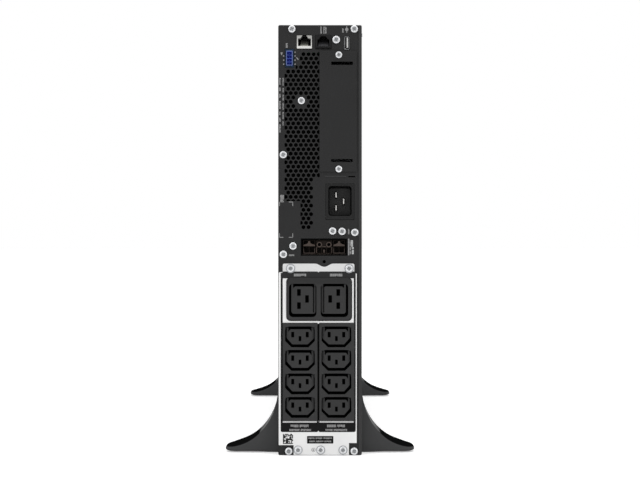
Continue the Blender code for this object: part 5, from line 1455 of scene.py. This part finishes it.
LAMP_PROFILE = [  # radius, height above the housing's front face
    (0.0, 0.28), (0.55, 0.24), (0.95, 0.1), (1.05, -0.05), (1.05, -0.8), (0.0, -0.8)]
for k, (x, tint) in enumerate(((-15.0, "led_green"), (-5.0, "led_amber"), (5.0, "led_amber"),
                               (15.0, "led_red"))):
    lamp = lathe_y(x, 406.2, [(r, Y_HOUSING + rise) for r, rise in LAMP_PROFILE], 24)
    display_part("status_lamp_%d" % (k + 1), lamp, tint, angle=60)


# ========================================================================== keys
def stroke(points, width=0.32):
    """A bent line of even width as a row of short bars."""
    out = []
    for (ax, az), (bx, bz) in zip(points, points[1:]):
        run = Vector((bx - ax, bz - az))
        side = Vector((-run.y, run.x)).normalized() * (width / 2)
        end = run.normalized() * (width * 0.3)
        out.append([(ax - end.x + side.x, az - end.y + side.y),
                    (bx + end.x + side.x, bz + end.y + side.y),
                    (bx + end.x - side.x, bz + end.y - side.y),
                    (ax - end.x - side.x, az - end.y - side.y)])
    return out


def arc(cx, cz, r, start, end, n=12):
    turns = [math.radians(start + (end - start) * i / n) for i in range(n + 1)]
    return [(cx + r * math.cos(t), cz + r * math.sin(t)) for t in turns]


def cross(left, right, half):
    return stroke([(left, -half), (right, half)]) + stroke([(left, half), (right, -half)])


KEY_FACE = cad("key_power").y1
KEYS = {  # name: x, z, icon shapes about the key's centre
    "power": (-17.0, 351.5, stroke(arc(0.0, -0.1, 1.35, 125, 415)) + stroke([(0, 0.2), (0, 1.7)])),
    "mute": (0.0, 351.5, [[(-1.9, -0.55), (-1.0, -0.55), (-0.1, -1.4), (-0.1, 1.4), (-1.0, 0.55),
                           (-1.9, 0.55)]] + cross(0.7, 2.2, 0.8)),
    "escape": (17.0, 351.5, cross(-1.3, 1.3, 1.3)),
    "up": (-17.0, 340.0, [[(-1.6, -1.0), (1.6, -1.0), (0.0, 1.3)]]),
    "down": (0.0, 340.0, [[(-1.6, 1.0), (0.0, -1.3), (1.6, 1.0)]]),
    "ok": (17.0, 340.0, stroke([(-1.7, 0.1), (-0.5, -1.2), (1.8, 1.3)], 0.42)),
}
for name, (x, z, shapes) in KEYS.items():
    icon = [face_mark([(x + u, z + w) for u, w in points], KEY_FACE, 0.04) for points in shapes]
    piece("icon_" + name, merged(icon), "white_ink", "key_plastic", name + "_key")
    finish_node("key_" + name, "key", 0.3)

# ========================================================== captive thumbscrews
KNURL_TEETH = 36


def knurled(cz, scale):
    """Toothed outline, three points to a tooth."""
    out = []
    for i in range(KNURL_TEETH * 3):
        t = 2 * math.pi * i / (KNURL_TEETH * 3)
        r = (5.62, 5.95, 5.95)[i % 3] * scale
        out.append((r * math.cos(t), cz + r * math.sin(t)))
    return out


for which in ("upper", "lower"):
    thumb = cad("thumbscrew_" + which)
    end, cz = thumb.y1, (thumb.z0 + thumb.z1) / 2
    head = loft_y([(knurled(cz, scale), end - off)
                   for scale, off in ((0.9, 8.2), (1.0, 7.7), (1.0, 0.6), (0.92, 0.0))])
    head = join(head, slab(ring(0.0, cz, 2.0, 24), thumb.y0, end - 7.0))
    head = cut(head, box(-4.6, 4.6, end - 1.2, end + 3.0, cz - 0.6, cz + 0.6))
    piece("thumbscrew_%s_knurled" % which, head, "nickel", "screw_nickel", "thumb_" + which,
          angle=28, stands_for="thumbscrew_" + which)

# ========================================================== battery door sticker
DOOR_Y = 273.5
sticker = slab(rounded(-24.0, 24.0, 96.0, 132.0, 1.2, 4), DOOR_Y + 0.01, DOOR_Y + 0.1)
white_part("door_sticker", sticker, "tongue", owner="door")
STICKER_BARS = ((40.0, 124.0), (34.0, 119.5), (38.0, 115.0), (26.0, 110.5),    # width, z
                (36.0, 106.0), (18.0, 101.5))
marks = [slab(square(-20.0, -20.0 + width, z, z + 1.8), DOOR_Y + 0.11, DOOR_Y + 0.16)
         for width, z in STICKER_BARS]
white_part("door_sticker_bars", merged(marks), "black_ink", owner="door")

# ===================================================== screws down the side cover
SIDE = cad("side_cover").x1
SIDE_SPOTS = [(y, 426.4) for y in (-284.0, -142.0, 0.0, 142.0, 268.0)]
SIDE_SPOTS += [(y, 5.6) for y in (-226.0, -84.0, 58.0, 184.0, 268.0)]
for k, (y, z) in enumerate(SIDE_SPOTS):
    place = Matrix.Translation((SIDE + 0.02, y, z)) @ Matrix.Rotation(math.pi / 2, 4, "Z")
    place_screw("side_screw_%02d" % (k + 1), place, head_r=3.1, head_h=0.42, cup=1.5,
                turn=(y * 7.0) % 90.0)

# =================================== rivets and rail holes on the pan's plain side
PAN = cad("chassis_base").x0


def side_disc(y, z, profile):
    """A small turned shape standing on the pan's outer side; profile is (radius, height)."""
    place = Matrix.Translation((PAN, y, z)) @ Matrix.Rotation(-math.pi / 2, 4, "Z")
    return moved(lathe_y(0.0, 0.0, [(r, -height) for r, height in profile], 20), place)


def side_discs(name, spots, profile, look):
    case_part(name, merged([side_disc(y, z, profile) for y, z in spots]), look, angle=50)


RIVET = [(0.0, 0.34), (1.5, 0.3), (2.2, 0.2), (2.5, 0.02), (2.5, 0.0), (0.0, 0.0)]
INSERT = [(2.1, 0.22), (3.3, 0.22), (3.6, 0.0), (2.1, 0.0)]
INSERT_FLOOR = [(0.0, 0.06), (2.15, 0.06), (2.15, 0.0), (0.0, 0.0)]
bracket, divider = cad("fan_bracket"), cad("battery_divider")
FAN_WALL = (bracket.y0 + bracket.y1) / 2
BAY_BACK, BAY_FRONT, BAY_TOP = divider.y0 + 0.6, divider.y1 - 0.6, bracket.z0 - 1.0
spots = [(FAN_WALL, z) for z in (250.0, 330.0, 410.0)]
spots += [(BAY_BACK, z) for z in (30.0, 90.0, 150.0)]
spots += [(BAY_BACK + (BAY_FRONT - BAY_BACK) * k / 4, BAY_TOP) for k in range(5)]
spots += [(-303.0, z) for z in (84.0, 192.0, 300.0, 408.0)]
spots += [(272.0, z) for z in (24.0, 152.0, 280.0, 408.0)]
side_discs("pan_rivets", spots, RIVET, "case")
RAIL_SPOTS = [(y, z) for y in (-240.0, -60.0, 120.0, 240.0) for z in (210.0, 222.0)]
side_discs("rail_inserts", RAIL_SPOTS, INSERT, "case_side")
# Near-black discs in the inserts: painted shade standing in for the holes.
side_discs("rail_insert_holes", RAIL_SPOTS, INSERT_FLOOR, "void")

# ============================================== the remaining parts of the frame
for node, look, edge in (
        ("chassis_base", "case", 0.3), ("side_cover", "case_side", 0.3),
        ("slot_card_cage", "inside", 0.15), ("display_bracket", "inside", 0.15),
        ("battery_divider", "inside", 0.15), ("fan_bracket", "inside", 0.15),
        ("battery_door", "inside", 0.2), ("battery_case", "case", 0.3),
        ("comms_board", "board", 0.1), ("power_board", "board", 0.1),
        ("heatsink_input", "alu", 0.2), ("heatsink_output", "alu", 0.2),
        ("capacitor_bank", "cap", 0.4), ("transformer", "core", 0.4),
        ("battery_socket", "conn", 0.2), ("battery_plug", "conn", 0.2),
        ("dc_cable_positive", "red", 0.0), ("dc_cable_negative", "black_cable", 0.0),
        ("battery_cells", "cell", 0.5), ("battery_strap", "strap", 0.2),
        ("fan_frame_upper", "fan", 0.2), ("fan_frame_lower", "fan", 0.2),
        ("fan_rotor_upper", "fan", 0.15), ("fan_rotor_lower", "fan", 0.15),
        ("display_housing", "bezel", 0.2)):
    finish_node(node, look, edge)

# ========================================================================= stage
FLOOR_HALF = 30000.0
FLOOR_Z = -0.4
FLOOR_LIFT = 0.36      # brings the paper up to the white of the backdrop, for the camera only


def paper_material():
    mat = Recipe("studio_paper")
    tint = mat.remap(mat.noise(3.0), span=(0.3, 0.7))
    mat.set(Base_Color=mat.mix(tint, grey(0.9), grey(0.93)), Roughness=0.9,
            Specular_IOR_Level=0.1)
    seen = mat.add("ShaderNodeLightPath").outputs["Is Camera Ray"]
    mat.set(Emission_Color=grey(1.0),
            Emission_Strength=mat.remap(seen, span=(0.0, 1.0), to=(0.0, FLOOR_LIFT)))
    return mat.material


def stage_floor():
    """A wide pale floor."""
    bm = bmesh.new()
    corners = square(-FLOOR_HALF, FLOOR_HALF, -FLOOR_HALF, FLOOR_HALF)
    bm.faces.new([bm.verts.new((x, y, FLOOR_Z)) for x, y in corners])
    made = link_mesh("stage_floor", bm)
    made.data.materials.append(paper_material())


def studio_world():
    """White backdrop, a little dimmer as a light than to the camera."""
    world = bpy.data.worlds.new("studio")
    bpy.context.scene.world = world
    world.use_nodes = True
    tree = world.node_tree
    sky = tree.nodes["Background"]
    sky.inputs["Color"].default_value = (1.0, 1.0, 1.0, 1.0)
    path = tree.nodes.new("ShaderNodeLightPath")
    level = tree.nodes.new("ShaderNodeMapRange")
    level.inputs["To Min"].default_value = 0.74
    level.inputs["To Max"].default_value = 1.0
    tree.links.new(path.outputs["Is Camera Ray"], level.inputs["Value"])
    tree.links.new(level.outputs["Result"], sky.inputs["Strength"])


def area_light(name, location, target, width, height, power):
    data = bpy.data.lights.new(name, "AREA")
    data.shape = "RECTANGLE"
    data.size = width
    data.size_y = height
    data.energy = power
    made = bpy.data.objects.new(name, data)
    bpy.context.scene.collection.objects.link(made)
    made.location = location
    direction = Vector(target) - Vector(location)
    made.rotation_euler = direction.to_track_quat("-Z", "Y").to_euler()


def rear_camera():
    """Camera square to the rear panel."""
    camera = bpy.data.cameras.new("view")
    camera.sensor_width = 36.0
    camera.lens = 76.7
    camera.clip_end = 60.0
    holder = bpy.data.objects.new("view", camera)
    bpy.context.scene.collection.objects.link(holder)
    holder.location = (0.0, Y_PANEL * MM - 1.370, 0.2161)
    holder.rotation_euler = (math.pi / 2, 0.0, 0.0)
    bpy.context.scene.camera = holder


stage_floor()
studio_world()
bpy.context.scene.view_settings.view_transform = "Standard"
area_light("key_left", location=(-1.9, -1.5, 1.5), target=(0, -0.3, 0.2),
           width=1.4, height=1.8, power=12.0)
area_light("key_right", location=(1.9, -1.5, 1.4), target=(0, -0.3, 0.2),
           width=1.4, height=1.8, power=10.5)
area_light("top", location=(0.0, 0.0, 2.6), target=(0, 0, 0.2), width=2.6, height=2.6, power=34.0)
rear_camera()
